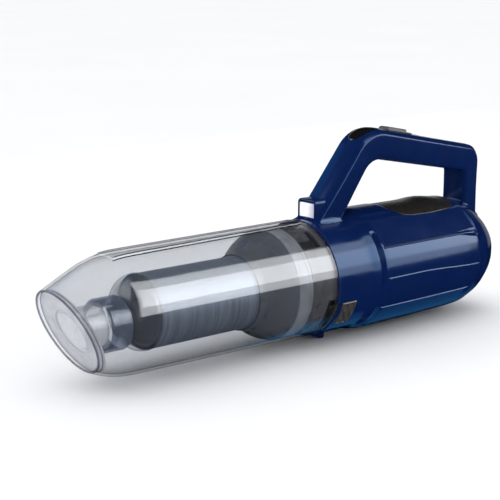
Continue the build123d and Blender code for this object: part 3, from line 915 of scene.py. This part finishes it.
# %% [markdown]
# ## The deck panel
# Between the handle's legs lies a smoked panel, almost flush in the skin, with a low hump behind. It
# is a grid of rows along the barrel and columns across, squeezed to the panel's outline. Each point
# is lifted to the skin under it plus the hump, and the rim dips a little, so the edge is soft.

# %% Deck panel
DECK_X = (301.0, 392.0)
HUMP_X = 362
deck_edge = [(DECK_X[0], 0), (303, 10), (306.5, 18), (312, 25), (322, 28), (352, 28), (376, 26),
             (386, 20), (391, 10), (DECK_X[1], 0)]


def deck_grid():
    """Rows along the panel and columns across, squeezed to its outline."""
    half = np.array(rounded(deck_edge, 6, 6, closed=False))
    xs = np.array(sorted(list(np.linspace(*DECK_X, 60)) + [301.2, 301.6, 302.2, 391.2, 391.7]))
    across = np.array([-1, -0.985, -0.96, -0.9, -0.8, -0.65, -0.5, -0.33, -0.16, 0,
                       0.16, 0.33, 0.5, 0.65, 0.8, 0.9, 0.96, 0.985, 1])
    outer, inner = [], []
    for x in xs:
        width = max(float(np.interp(x, half[:, 0], half[:, 1])), 0.05)
        end = min(x - DECK_X[0], DECK_X[1] - x)
        row_out, row_in = [], []
        for v in across:
            y = v * width
            rim = min(width * (1 - abs(v)), end)
            hump = 1.9 * math.exp(-((x - HUMP_X) / 14) ** 2) * (1 - (abs(y) / 30) ** 2)
            radius = float(barrel_radius(x)) + 0.3 + hump
            angle = math.degrees(math.asin(min(abs(y) / radius, 1)))
            radius -= float(facet_drop(angle, barrel_radius(x)))
            radius -= 0.35 * (1 - rise(rim, -0.2, 0.5))
            row_out.append((x, -y, math.sqrt(radius ** 2 - y ** 2)))
            row_in.append((x, -y, math.sqrt((radius - 1.2) ** 2 - y ** 2)))
        outer.append(row_out)
        inner.append(row_in)
    return wall(np.array(outer), np.array(inner))


piece("deck_skin", deck_grid(), "housing", ["deck_panel"], crease=50)

# %% [markdown]
# ## Exhaust foam
# A ring of soft black foam behind the rear grille keeps carbon dust from the motor in. Cut foam has
# a surface full of pits and its edges are never quite straight, so the ring is a fine turned mesh
# whose radius and thickness wander a little.

# %% Exhaust foam
FOAM_BORE = 8.5  # radius


def foam_ring():
    """A turned ring with an unsteady surface."""
    low, high = measured("exhaust_foam")
    outer = (high.z - low.z) / 2
    outline = rounded([(low.x, FOAM_BORE), (low.x, outer), (high.x, outer), (high.x, FOAM_BORE)],
                      1.2, 5)
    fine = []
    for (x0, r0), (x1, r1) in zip(outline, outline[1:] + outline[:1]):
        cuts = max(1, int(math.hypot(x1 - x0, r1 - r0) / 1.0))
        fine += [(x0 + (x1 - x0) * k / cuts, r0 + (r1 - r0) * k / cuts) for k in range(cuts)]
    points, faces = lathe(fine, (low.z + high.z) / 2, 120)
    pitted = []
    for x, y, z in points:
        wander = 0.10 * math.sin(1.9 * y + 0.7 * z) * math.cos(1.3 * z - 0.4 * y)
        squeeze = 1 - (0.25 + 0.6 * abs(wander)) / outer
        pitted.append((x + wander, y * squeeze, z * squeeze))
    return pitted, faces


foam_skin = piece("foam_skin", foam_ring(), "housing", ["exhaust_foam"])

# %% [markdown]
# ## Release buttons
# Squeezing a button on each side frees the cup. Each has a cross-hatched face that fingers can
# feel. The hatching is real relief: two sets of slanting grooves cut into a fine grid. The rim rows
# drop away, so the button has a soft edge all round.

# %% Release buttons
HATCH_PITCH = 6.6
HATCH_WIDTH = 0.62
BUTTON_TOP = 52.35  # radius of the pressed face
ARM_ANGLE = 122.5


def hatched(u, v):
    """Depth of two sets of slanting grooves, in millimetres."""
    depth = 0.0
    for slant in (1, -1):
        t = ((u + slant * v * 0.62) / HATCH_PITCH) % 1.0
        depth = max(depth, math.exp(-((t - 0.5) * HATCH_PITCH / HATCH_WIDTH) ** 2))
    return 1.3 * depth


def turned_to(turn, across, height):
    """The y and z of a point across and above a spot on the barrel, turned from the top."""
    return (across * math.cos(turn) - height * math.sin(turn),
            across * math.sin(turn) + height * math.cos(turn))


def button_wall(side):
    """The hatched pad of one button."""
    turn = math.radians(side * BUTTON_ANGLE)
    half_x, half_y = (BUTTON_X[1] - BUTTON_X[0]) / 2, 12.35
    middle_x = (BUTTON_X[0] + BUTTON_X[1]) / 2
    us = steps_between(-half_x, half_x, 0.45, [(-half_x, 0.5, 0.12), (half_x, 0.5, 0.12)])
    vs = steps_between(-half_y, half_y, 0.45, [(-half_y, 0.5, 0.12), (half_y, 0.5, 0.12)])
    outer, inner = [], []
    for u in us:
        row_out, row_in = [], []
        for v in vs:
            rim = min(half_x - abs(u), half_y - abs(v))
            drop = 0.5 * (1 - rise(rim, -0.1, 0.6))
            cut = hatched(u, v) * rise(rim, 0.9, 1.4)
            up = math.sqrt(BUTTON_TOP ** 2 - v ** 2) - drop - cut
            for height, row in ((up, row_out), (45.4, row_in)):
                row.append((middle_x + u, *turned_to(turn, v, height)))
        outer.append(row_out)
        inner.append(row_in)
    return wall(np.array(outer), np.array(inner))


def latch_arm(side):
    """The arm and barb that reach forward under the cup's window."""
    turn = math.radians(side * ARM_ANGLE)
    outline = rounded([(203.6, 46.0), (203.6, 47.9), (206.4, 47.9), (206.9, 47.2), (217.5, 47.2),
                       (217.5, 45.4), (205.0, 45.4)], 0.3, 3)
    points, faces = strip(outline, 9.6, 0.3)
    return [(x, *turned_to(turn, v, height)) for x, v, height in points], faces


for side, word in ((1, "left"), (-1, "right")):
    piece(f"button_skin_{word}", joined(button_wall(side), latch_arm(side)),
          f"button_{word}", [f"release_button_{word}"], crease=40)

# %% [markdown]
# ## The lamp's lens
# The lens is a softly domed pane behind the hood's frame. It is a small grid with a dome, because a
# flat pane would look like a sticker.

# %% Lens
lens_low, lens_high = measured("lamp_lens")


def lens_wall():
    """A pane with a domed front."""
    half, low, high = lens_high.y + 0.05, lens_low.z, lens_high.z
    middle, half_z = (low + high) / 2, (high - low) / 2
    fit = 0.985  # a hair smaller than the frame
    outer, inner = [], []
    for v in np.linspace(-1, 1, 25):
        row_out, row_in = [], []
        for u in np.linspace(-1, 1, 25):
            y, z = u * half * fit, middle + v * half_z * fit
            dome = 0.8 * (1 - u ** 4) * (1 - v ** 4)
            row_out.append((lens_low.x + 1.0 - dome, y, z))
            row_in.append((lens_high.x, y, z))
        outer.append(row_out)
        inner.append(row_in)
    return wall(np.array(outer), np.array(inner))


piece("lens_skin", lens_wall(), "housing", ["lamp_lens"])

# %% [markdown]
# ## Finishes
# Every finish is a small recipe of nodes. Plastic is never one even colour: it has faint clouding,
# a fine grain from the mould, fingerprints that change how it shines, and edges that rub lighter.
# "finish" builds that recipe. Values that are the same all over are set on the shader itself, and
# only what changes over the surface is drawn by nodes.

# %% Finish helper
def link(tree, source, target):
    tree.links.new(source, target)


def finish(name, colour, rough=(0.25, 0.4), metal=0.0, grain=0.04, grain_size=900.0, cloud=0.12,
           cloud_size=28.0, edge=0.12, stretch=(1, 1, 1), sheen=0.0, specular=0.5,
           tint=(1, 1, 1)):
    """A node recipe: cloudy colour, rubbed edges, uneven shine and a fine moulded grain."""
    material = bpy.data.materials.new(name)
    material.use_nodes = True
    tree = material.node_tree
    shader = tree.nodes["Principled BSDF"]
    shader.inputs["Metallic"].default_value = metal
    shader.inputs["Specular IOR Level"].default_value = specular
    shader.inputs["Specular Tint"].default_value = (*tint, 1)
    shader.inputs["Sheen Weight"].default_value = sheen
    where = tree.nodes.new("ShaderNodeTexCoord")
    fit = tree.nodes.new("ShaderNodeMapping")
    fit.inputs["Scale"].default_value = stretch
    link(tree, where.outputs["Object"], fit.inputs["Vector"])

    def noise(size, detail):
        node = tree.nodes.new("ShaderNodeTexNoise")
        node.inputs["Scale"].default_value = size
        node.inputs["Detail"].default_value = detail
        node.inputs["Roughness"].default_value = 0.55
        link(tree, fit.outputs["Vector"], node.inputs["Vector"])
        return node.outputs["Fac"]

    clouds = tree.nodes.new("ShaderNodeValToRGB")
    dark = tuple(c * (1 - cloud) for c in colour)
    light = tuple(min(c * (1 + cloud) + 0.004 * cloud, 1) for c in colour)
    clouds.color_ramp.elements[0].position = 0.3
    clouds.color_ramp.elements[1].position = 0.7
    clouds.color_ramp.elements[0].color = (*dark, 1)
    clouds.color_ramp.elements[1].color = (*light, 1)
    link(tree, noise(cloud_size, 4), clouds.inputs["Fac"])
    geometry = tree.nodes.new("ShaderNodeNewGeometry")
    rubbed = tree.nodes.new("ShaderNodeMapRange")
    rubbed.inputs["From Min"].default_value = 0.52
    rubbed.inputs["From Max"].default_value = 0.62
    rubbed.inputs["To Max"].default_value = edge
    link(tree, geometry.outputs["Pointiness"], rubbed.inputs["Value"])
    wear = tree.nodes.new("ShaderNodeMix")
    wear.data_type = "RGBA"
    link(tree, rubbed.outputs["Result"], wear.inputs["Factor"])
    link(tree, clouds.outputs["Color"], wear.inputs["A"])
    wear.inputs["B"].default_value = tuple(min(c * 1.6 + 0.10, 1) for c in colour) + (1,)
    link(tree, wear.outputs["Result"] if edge else clouds.outputs["Color"],
         shader.inputs["Base Color"])
    shine = tree.nodes.new("ShaderNodeMapRange")
    shine.inputs["From Min"].default_value = 0.3
    shine.inputs["From Max"].default_value = 0.7
    shine.inputs["To Min"].default_value = rough[0]
    shine.inputs["To Max"].default_value = rough[1]
    link(tree, noise(cloud_size * 2.6, 6), shine.inputs["Value"])
    link(tree, shine.outputs["Result"], shader.inputs["Roughness"])
    bump = tree.nodes.new("ShaderNodeBump")
    bump.inputs["Strength"].default_value = grain
    bump.inputs["Distance"].default_value = 0.0004
    link(tree, noise(grain_size, 3), bump.inputs["Height"])
    link(tree, bump.outputs["Normal"], shader.inputs["Normal"])
    return material


def wear_it(obj, material):
    """Give an object one material on all its faces."""
    if obj.data.materials:
        for k in range(len(obj.data.materials)):
            obj.data.materials[k] = material
    else:
        obj.data.materials.append(material)


# %% [markdown]
# ## Clear plastic
# Thin clear plastic hardly bends light, so real glass would only add noise. A see-through shader
# with a faint smoke tint does the looking-through, and a glossy shader does the reflections. How
# much reflects comes from the angle of the surface, which is why the edges of the cup look darker
# and shinier than its middle. Faint dust and fine scratches change the gloss.

# %% Clear plastic recipe
def clear_plastic(name, tint, edge_tint, haze, haze_colour, rough=0.03, reflect=0.022):
    """See-through plastic: tint straight through, edge tint at a grazing look, and some haze."""
    material = bpy.data.materials.new(name)
    material.use_nodes = True
    tree = material.node_tree
    tree.nodes.clear()
    out = tree.nodes.new("ShaderNodeOutputMaterial")
    through = tree.nodes.new("ShaderNodeBsdfTransparent")
    gloss = tree.nodes.new("ShaderNodeBsdfGlossy")
    gloss.inputs["Color"].default_value = (0.97, 0.96, 0.95, 1)
    body = tree.nodes.new("ShaderNodeBsdfDiffuse")
    body.inputs["Color"].default_value = (*haze_colour, 1)
    facing = tree.nodes.new("ShaderNodeLayerWeight")
    facing.inputs["Blend"].default_value = 0.5
    ramp = tree.nodes.new("ShaderNodeValToRGB")
    ramp.color_ramp.elements[0].position = 0.55
    ramp.color_ramp.elements[0].color = (*tint, 1)
    ramp.color_ramp.elements[1].position = 1.0
    ramp.color_ramp.elements[1].color = (*edge_tint, 1)
    nearly = ramp.color_ramp.elements.new(0.9)
    nearly.color = (*(0.93 * t for t in tint), 1)
    link(tree, facing.outputs["Facing"], ramp.inputs["Fac"])
    link(tree, ramp.outputs["Color"], through.inputs["Color"])
    where = tree.nodes.new("ShaderNodeTexCoord")
    dust = tree.nodes.new("ShaderNodeTexNoise")
    dust.inputs["Scale"].default_value = 60.0
    dust.inputs["Detail"].default_value = 8.0
    link(tree, where.outputs["Object"], dust.inputs["Vector"])
    dusty = tree.nodes.new("ShaderNodeMapRange")
    dusty.inputs["From Min"].default_value = 0.4
    dusty.inputs["From Max"].default_value = 0.75
    dusty.inputs["To Min"].default_value = haze
    dusty.inputs["To Max"].default_value = haze * 1.6 + 0.01
    link(tree, dust.outputs["Fac"], dusty.inputs["Value"])
    shine = tree.nodes.new("ShaderNodeMapRange")
    shine.inputs["To Min"].default_value = rough
    shine.inputs["To Max"].default_value = rough + 0.06
    link(tree, dust.outputs["Fac"], shine.inputs["Value"])
    link(tree, shine.outputs["Result"], gloss.inputs["Roughness"])
    bump = tree.nodes.new("ShaderNodeBump")
    bump.inputs["Strength"].default_value = 0.05
    bump.inputs["Distance"].default_value = 0.0006
    link(tree, dust.outputs["Fac"], bump.inputs["Height"])
    link(tree, bump.outputs["Normal"], gloss.inputs["Normal"])
    hazy = tree.nodes.new("ShaderNodeMixShader")
    link(tree, dusty.outputs["Result"], hazy.inputs["Fac"])
    link(tree, through.outputs["BSDF"], hazy.inputs[1])
    link(tree, body.outputs["BSDF"], hazy.inputs[2])
    steep = tree.nodes.new("ShaderNodeMath")
    steep.operation = "POWER"
    steep.inputs[1].default_value = 5.0
    link(tree, facing.outputs["Facing"], steep.inputs[0])
    mirror = tree.nodes.new("ShaderNodeMapRange")
    mirror.inputs["To Min"].default_value = reflect
    mirror.inputs["To Max"].default_value = 0.45
    link(tree, steep.outputs["Value"], mirror.inputs["Value"])
    both = tree.nodes.new("ShaderNodeMixShader")
    link(tree, mirror.outputs["Result"], both.inputs["Fac"])
    link(tree, hazy.outputs["Shader"], both.inputs[1])
    link(tree, gloss.outputs["BSDF"], both.inputs[2])
    link(tree, both.outputs["Shader"], out.inputs["Surface"])
    return material


# %% All finishes
navy = (0.0026, 0.0135, 0.078)
finishes = {
    "clear_plastic": clear_plastic("smoke_clear", (0.912, 0.918, 0.928), (0.50, 0.51, 0.56), 0.003,
                                   (0.55, 0.57, 0.62), 0.03, 0.034),
    "rim_clear": clear_plastic("rim_clear", (0.62, 0.63, 0.68), (0.16, 0.17, 0.22), 0.02,
                               (0.40, 0.42, 0.48), 0.05, 0.04),
    # painted shade: a dark clear finish for the lines that bent light makes along the rail's edges
    "painted_dark_line_clear": clear_plastic("painted_dark_line_clear", (0.20, 0.21, 0.27), (0.08, 0.09, 0.14), 0.10,
                                (0.10, 0.11, 0.16), 0.30, 0.004),
    "milky_clear": clear_plastic("milky_clear", (0.90, 0.905, 0.915), (0.7, 0.7, 0.74), 0.42,
                                 (0.76, 0.77, 0.80), 0.2, 0.01),
    "tinted_plastic": clear_plastic("tube_clear", (0.965, 0.967, 0.975), (0.74, 0.76, 0.82), 0.15,
                                    (0.82, 0.84, 0.88), 0.06, 0.030),
    "collar_clear": clear_plastic("collar_clear", (0.78, 0.82, 0.89), (0.36, 0.41, 0.52), 0.28,
                                  (0.22, 0.26, 0.35), 0.06, 0.040),
    "nose_smoke": clear_plastic("nose_smoke", (0.91, 0.92, 0.94), (0.42, 0.45, 0.52), 0.08,
                                (0.34, 0.36, 0.42), 0.10, 0.045),
    "charcoal": finish("charcoal", (0.10, 0.108, 0.125), (0.3, 0.45), edge=0.05, specular=0.2),
    "frosted_plastic": clear_plastic("frosted", (0.50, 0.53, 0.57), (0.4, 0.42, 0.45), 0.50,
                                     (0.40, 0.42, 0.45), 0.25, 0.02),
    "housing_blue": finish("glossy_navy", navy, (0.12, 0.19), grain=0.008, cloud=0.08, edge=0.10,
                           specular=0.25, tint=(0.44, 0.68, 1.0)),
    "screen_metal": finish("dark_steel_screen", (0.150, 0.180, 0.228), (0.40, 0.50), metal=0.15,
                           grain=0.25, grain_size=900, stretch=(1, 0.03, 0.03), edge=0.05,
                           cloud=0.28, cloud_size=420),
    "filter_plastic": finish("charcoal_plastic", (0.105, 0.112, 0.130), (0.24, 0.36), grain=0.05,
                             edge=0.05, specular=0.2),
    "dark_plastic": finish("seat_satin", (0.095, 0.092, 0.100), (0.22, 0.34), grain=0.05, edge=0,
                           specular=0.2),
    "flap_plastic": finish("flap_grey", (0.80, 0.81, 0.83), (0.3, 0.5), edge=0),
    "steel_pin": finish("pin_steel", (0.5, 0.5, 0.48), (0.2, 0.35), metal=1.0,
                        stretch=(1, 0.1, 1)),
    "filter_paper": finish("pleated_paper", (0.78, 0.76, 0.70), (0.75, 0.95), grain=0.3,
                           grain_size=2400, sheen=0.2),
    "seal_rubber": finish("seal_rubber", (0.012, 0.012, 0.013), (0.55, 0.75), grain=0.12),
    "circuit_board": finish("board_green", (0.01, 0.11, 0.045), (0.25, 0.4), grain=0.1, cloud=0.3,
                            cloud_size=160),
    "black_gloss": finish("piano_black", (0.006, 0.006, 0.007), (0.10, 0.18), grain=0.006,
                          edge=0.06, specular=0.4),
    "switch_grey": finish("switch_grey", (0.085, 0.08, 0.075), (0.38, 0.52), grain=0.10, edge=0.2,
                          specular=0.25),
    "smoked_panel": finish("smoked_panel", (0.020, 0.018, 0.015), (0.24, 0.34), grain=0.01,
                           edge=0, specular=0.12, tint=(1.0, 0.92, 0.82)),
    "button_grey": finish("button_grey", (0.060, 0.053, 0.044), (0.32, 0.46), grain=0.10,
                          edge=0.35),
    "fan_plastic": finish("fan_ivory", (0.70, 0.70, 0.66), (0.3, 0.45)),
    "shroud_plastic": finish("shroud_black", (0.02, 0.02, 0.022), (0.35, 0.5)),
    "foam": finish("exhaust_foam", (0.02, 0.02, 0.02), (0.85, 0.98), grain=0.9, grain_size=1400),
    "motor_steel": finish("motor_steel", (0.52, 0.53, 0.54), (0.22, 0.36), metal=1.0,
                          stretch=(0.1, 1, 1)),
    "armature_steel": finish("armature", (0.33, 0.20, 0.11), (0.3, 0.5), metal=0.8, cloud=0.4,
                             cloud_size=220),
    "magnet_black": finish("magnet", (0.035, 0.035, 0.038), (0.5, 0.7), grain=0.15),
    "bearing_steel": finish("bearing_steel", (0.62, 0.62, 0.63), (0.12, 0.22), metal=1.0),
    "cell_wrap": finish("cell_wrap", (0.03, 0.16, 0.22), (0.2, 0.32), grain=0.02),
    "holder_plastic": finish("holder_black", (0.016, 0.016, 0.018), (0.4, 0.55)),
    "lead_plastic": finish("lead_red", (0.33, 0.012, 0.010), (0.3, 0.45)),
    "screw_steel": finish("screw_steel", (0.42, 0.42, 0.43), (0.25, 0.4), metal=1.0),
}
print(len(finishes), "finishes")

# %% [markdown]
# ## A lens that glows
# The lamp is lit. Its lens spreads the light of one small diode, so it is brightest off its middle
# and fades towards a corner. The glow is drawn by distance from the diode, inside the piece's own
# space, so it stays with the lens from every side.

# %% Lens finish
def glowing(name, strength):
    """A lens whose glow fades with the distance from its diode."""
    material = bpy.data.materials.new(name)
    material.use_nodes = True
    tree = material.node_tree
    shader = tree.nodes["Principled BSDF"]
    shader.inputs["Roughness"].default_value = 0.18
    shader.inputs["Base Color"].default_value = (0.16, 0.16, 0.18, 1)
    where = tree.nodes.new("ShaderNodeTexCoord")
    offset = tree.nodes.new("ShaderNodeVectorMath")
    offset.operation = "DISTANCE"
    diode = place(lens_low.x, 3.5, (lens_low.z + lens_high.z) / 2 + 0.5)
    offset.inputs[1].default_value = diode
    link(tree, where.outputs["Object"], offset.inputs[0])
    fade = tree.nodes.new("ShaderNodeValToRGB")
    fade.color_ramp.elements[0].position = 0.0
    fade.color_ramp.elements[0].color = (1, 1, 1, 1)
    fade.color_ramp.elements[1].position = 1.0
    fade.color_ramp.elements[1].color = (0.30, 0.32, 0.42, 1)
    reach = tree.nodes.new("ShaderNodeMapRange")
    reach.inputs["From Min"].default_value = 4.5 * MM
    reach.inputs["From Max"].default_value = 13.5 * MM
    link(tree, offset.outputs["Value"], reach.inputs["Value"])
    link(tree, reach.outputs["Result"], fade.inputs["Fac"])
    link(tree, fade.outputs["Color"], shader.inputs["Emission Color"])
    shader.inputs["Emission Strength"].default_value = strength
    return material


finishes["lens_plastic"] = glowing("lit_lens", 0.95)
finishes["black_sleeve"] = finish("black_sleeve", (0.006, 0.008, 0.012), (0.3, 0.45), edge=0,
                                  specular=0.2)

# %% Dress every piece
slot_of = {part["node"]: part["material_slot"] for part in frame["record"]["subparts"]}
for node, obj in frame["nodes"].items():
    wear_it(obj, finishes[slot_of[node]])
wear_it(frame["nodes"]["filter_base"], finishes["black_sleeve"])
dressed = {
    "cup_skin": "clear_plastic", "mouth_bead": "rim_clear", "inlet_skin": "tinted_plastic",
    "nose_plate": "milky_clear", "rail_edges": "painted_dark_line_clear", "latch_pocket_shade": "black_sleeve",
    "collar_skin": "collar_clear", "cap_skin": "nose_smoke", "cap_plate": "charcoal",
    "screen_skin": "screen_metal",
    "skirt_skin": "filter_plastic", "frost_skin": "frosted_plastic",
    "housing_skin_left": "housing_blue", "housing_skin_right": "housing_blue",
    "lamp_hood": "housing_blue", "insert_skin": "black_gloss", "slider_skin": "switch_grey",
    "deck_skin": "smoked_panel",
    "button_skin_left": "button_grey", "button_skin_right": "button_grey",
    "lens_skin": "lens_plastic", "foam_skin": "foam",
}
for obj in made:
    wear_it(obj, finishes[dressed[obj.name]])
print("dressed", len(made), "made pieces and", len(frame["nodes"]), "working pieces")

# %% [markdown]
# ## Studio
# Glossy plastic is seen by what it reflects, so this studio splits light in two. A soft sun and an
# even sky light every surface but never show as a reflection. Panels round the machine do nothing
# but reflect: the big one at the side draws the long soft band on the round surfaces, and a blue
# one below colours the lower edge. The floor isn't reflected either, so the navy stays deep.
# The colours are shown as they are, so that white stays white.

# %% Floor
def stage_floor():
    """A plain pale floor, wide enough to fill the view."""
    size = 12.0
    data = bpy.data.meshes.new("studio_floor")
    corners = [(-size, -size, 0), (size, -size, 0), (size, size, 0), (-size, size, 0)]
    data.from_pydata(corners, [], [(0, 1, 2, 3)])
    floor = bpy.data.objects.new("studio_floor", data)
    bpy.context.collection.objects.link(floor)
    wear_it(floor, finish("floor_white", (0.93, 0.93, 0.93), (0.8, 0.9), grain=0.02, cloud=0.01,
                          cloud_size=2, edge=0.0))
    floor.visible_glossy = False


stage_floor()
bpy.context.scene.view_settings.view_transform = "Standard"

# %% Lights
def sun(name, direction, strength, angle):
    """A sun lamp that shines from a direction and never shows as a reflection."""
    lamp = bpy.data.lights.new(name, "SUN")
    lamp.energy = strength
    lamp.angle = math.radians(angle)
    obj = bpy.data.objects.new(name, lamp)
    bpy.context.collection.objects.link(obj)
    obj.rotation_euler = Vector(direction).normalized().to_track_quat("Z", "Y").to_euler()
    obj.visible_glossy = False


def reflector(name, centre, across, up, width, height, strength, colour):
    """A panel that only shows as a reflection: across and up are its sides' directions."""
    across, up = Vector(across).normalized(), Vector(up).normalized()
    facing = across.cross(up)
    lamp = bpy.data.lights.new(name, "AREA")
    lamp.shape = "RECTANGLE"
    lamp.size, lamp.size_y = width, height
    lamp.energy = strength * math.pi * width * height
    lamp.color = colour
    obj = bpy.data.objects.new(name, lamp)
    bpy.context.collection.objects.link(obj)
    obj.matrix_world = Matrix((across, up, facing)).transposed().to_4x4()
    obj.location = Vector(centre)
    obj.visible_camera = False
    obj.visible_diffuse = False


sun("sky", (-0.12, 0.30, 1.0), 1.0, 90)
pale = (0.94, 0.97, 1.0)
deep_blue, water_blue = (0.08, 0.45, 1.0), (0.06, 0.45, 1.0)
panels = [
    # name, centre, across, up, width, height, strength, colour
    ("side_band", (0.70, -0.66, 0.51), (1, 0, 0), (0, 0.592, 0.806), 1.3, 0.97, 5.8, pale),
    ("side_core", (0.70, -0.60, 0.46), (1, 0, 0), (0, 0.592, 0.806), 1.2, 0.40, 4.6, pale),
    ("under_panel", (1.13, 0.25, -0.75), (-1, 0, 0), (0, 1, 0), 0.98, 0.7, 0.48, deep_blue),
    ("far_strip", (0.75, 1.1, 0.25), (-1, 0, 0), (0, 0, 1), 1.6, 0.5, 0.55, pale),
    ("rear_strip", (1.3, 0.62, 0.12), (-0.43, 0.9, 0), (0, 0, 1), 0.8, 0.5, 0.32, pale),
    ("front_glow", (-0.22, 0.80, 0.63), (-0.83, -0.55, 0), (0.25, -0.377, 0.89), 0.55, 0.34, 0.9,
     water_blue),
    ("far_band", (-0.95, 0.75, 0.45), (-1, 0, 0), (0, -0.5, 0.866), 1.3, 0.8, 2.6, pale),
    ("front_far", (-0.75, 0.75, 0.55), (-0.7, -0.7, 0), (-0.35, 0.35, 0.87), 0.9, 0.5, 1.2, pale),
    ("front_near", (-0.75, -0.75, 0.60), (0.7, -0.7, 0), (0.35, 0.35, 0.87), 0.8, 0.4, 1.6, pale),
]
for panel in panels:
    reflector(*panel)
print(len(panels), "panels for reflections")

# %% Sky
world = bpy.data.worlds.new("studio")
world.use_nodes = True
sky = world.node_tree.nodes["Background"]
sky.inputs["Color"].default_value = (0.97, 0.98, 1.0, 1)
sky.inputs["Strength"].default_value = 0.84
world.cycles_visibility.glossy = False
bpy.context.scene.world = world

# %% [markdown]
# ## Camera
# A long lens from the front quarter shows the mouth, the filter in its cup and the handle at once.

# %% Camera
AZIMUTH, ELEVATION = math.radians(-39.69), math.radians(13.85)
DISTANCE = 1.1825
back = Vector((math.sin(AZIMUTH) * math.cos(ELEVATION), -math.cos(AZIMUTH) * math.cos(ELEVATION),
               math.sin(ELEVATION)))
lens = bpy.data.cameras.new("camera")
lens.lens = 100.8
lens.shift_x, lens.shift_y = 0.0496, 0.0846
camera = bpy.data.objects.new("camera", lens)
bpy.context.collection.objects.link(camera)
camera.location = Vector(place(125, 0, 0)) + back * DISTANCE
camera.rotation_euler = back.to_track_quat("Z", "Y").to_euler()
bpy.context.scene.camera = camera
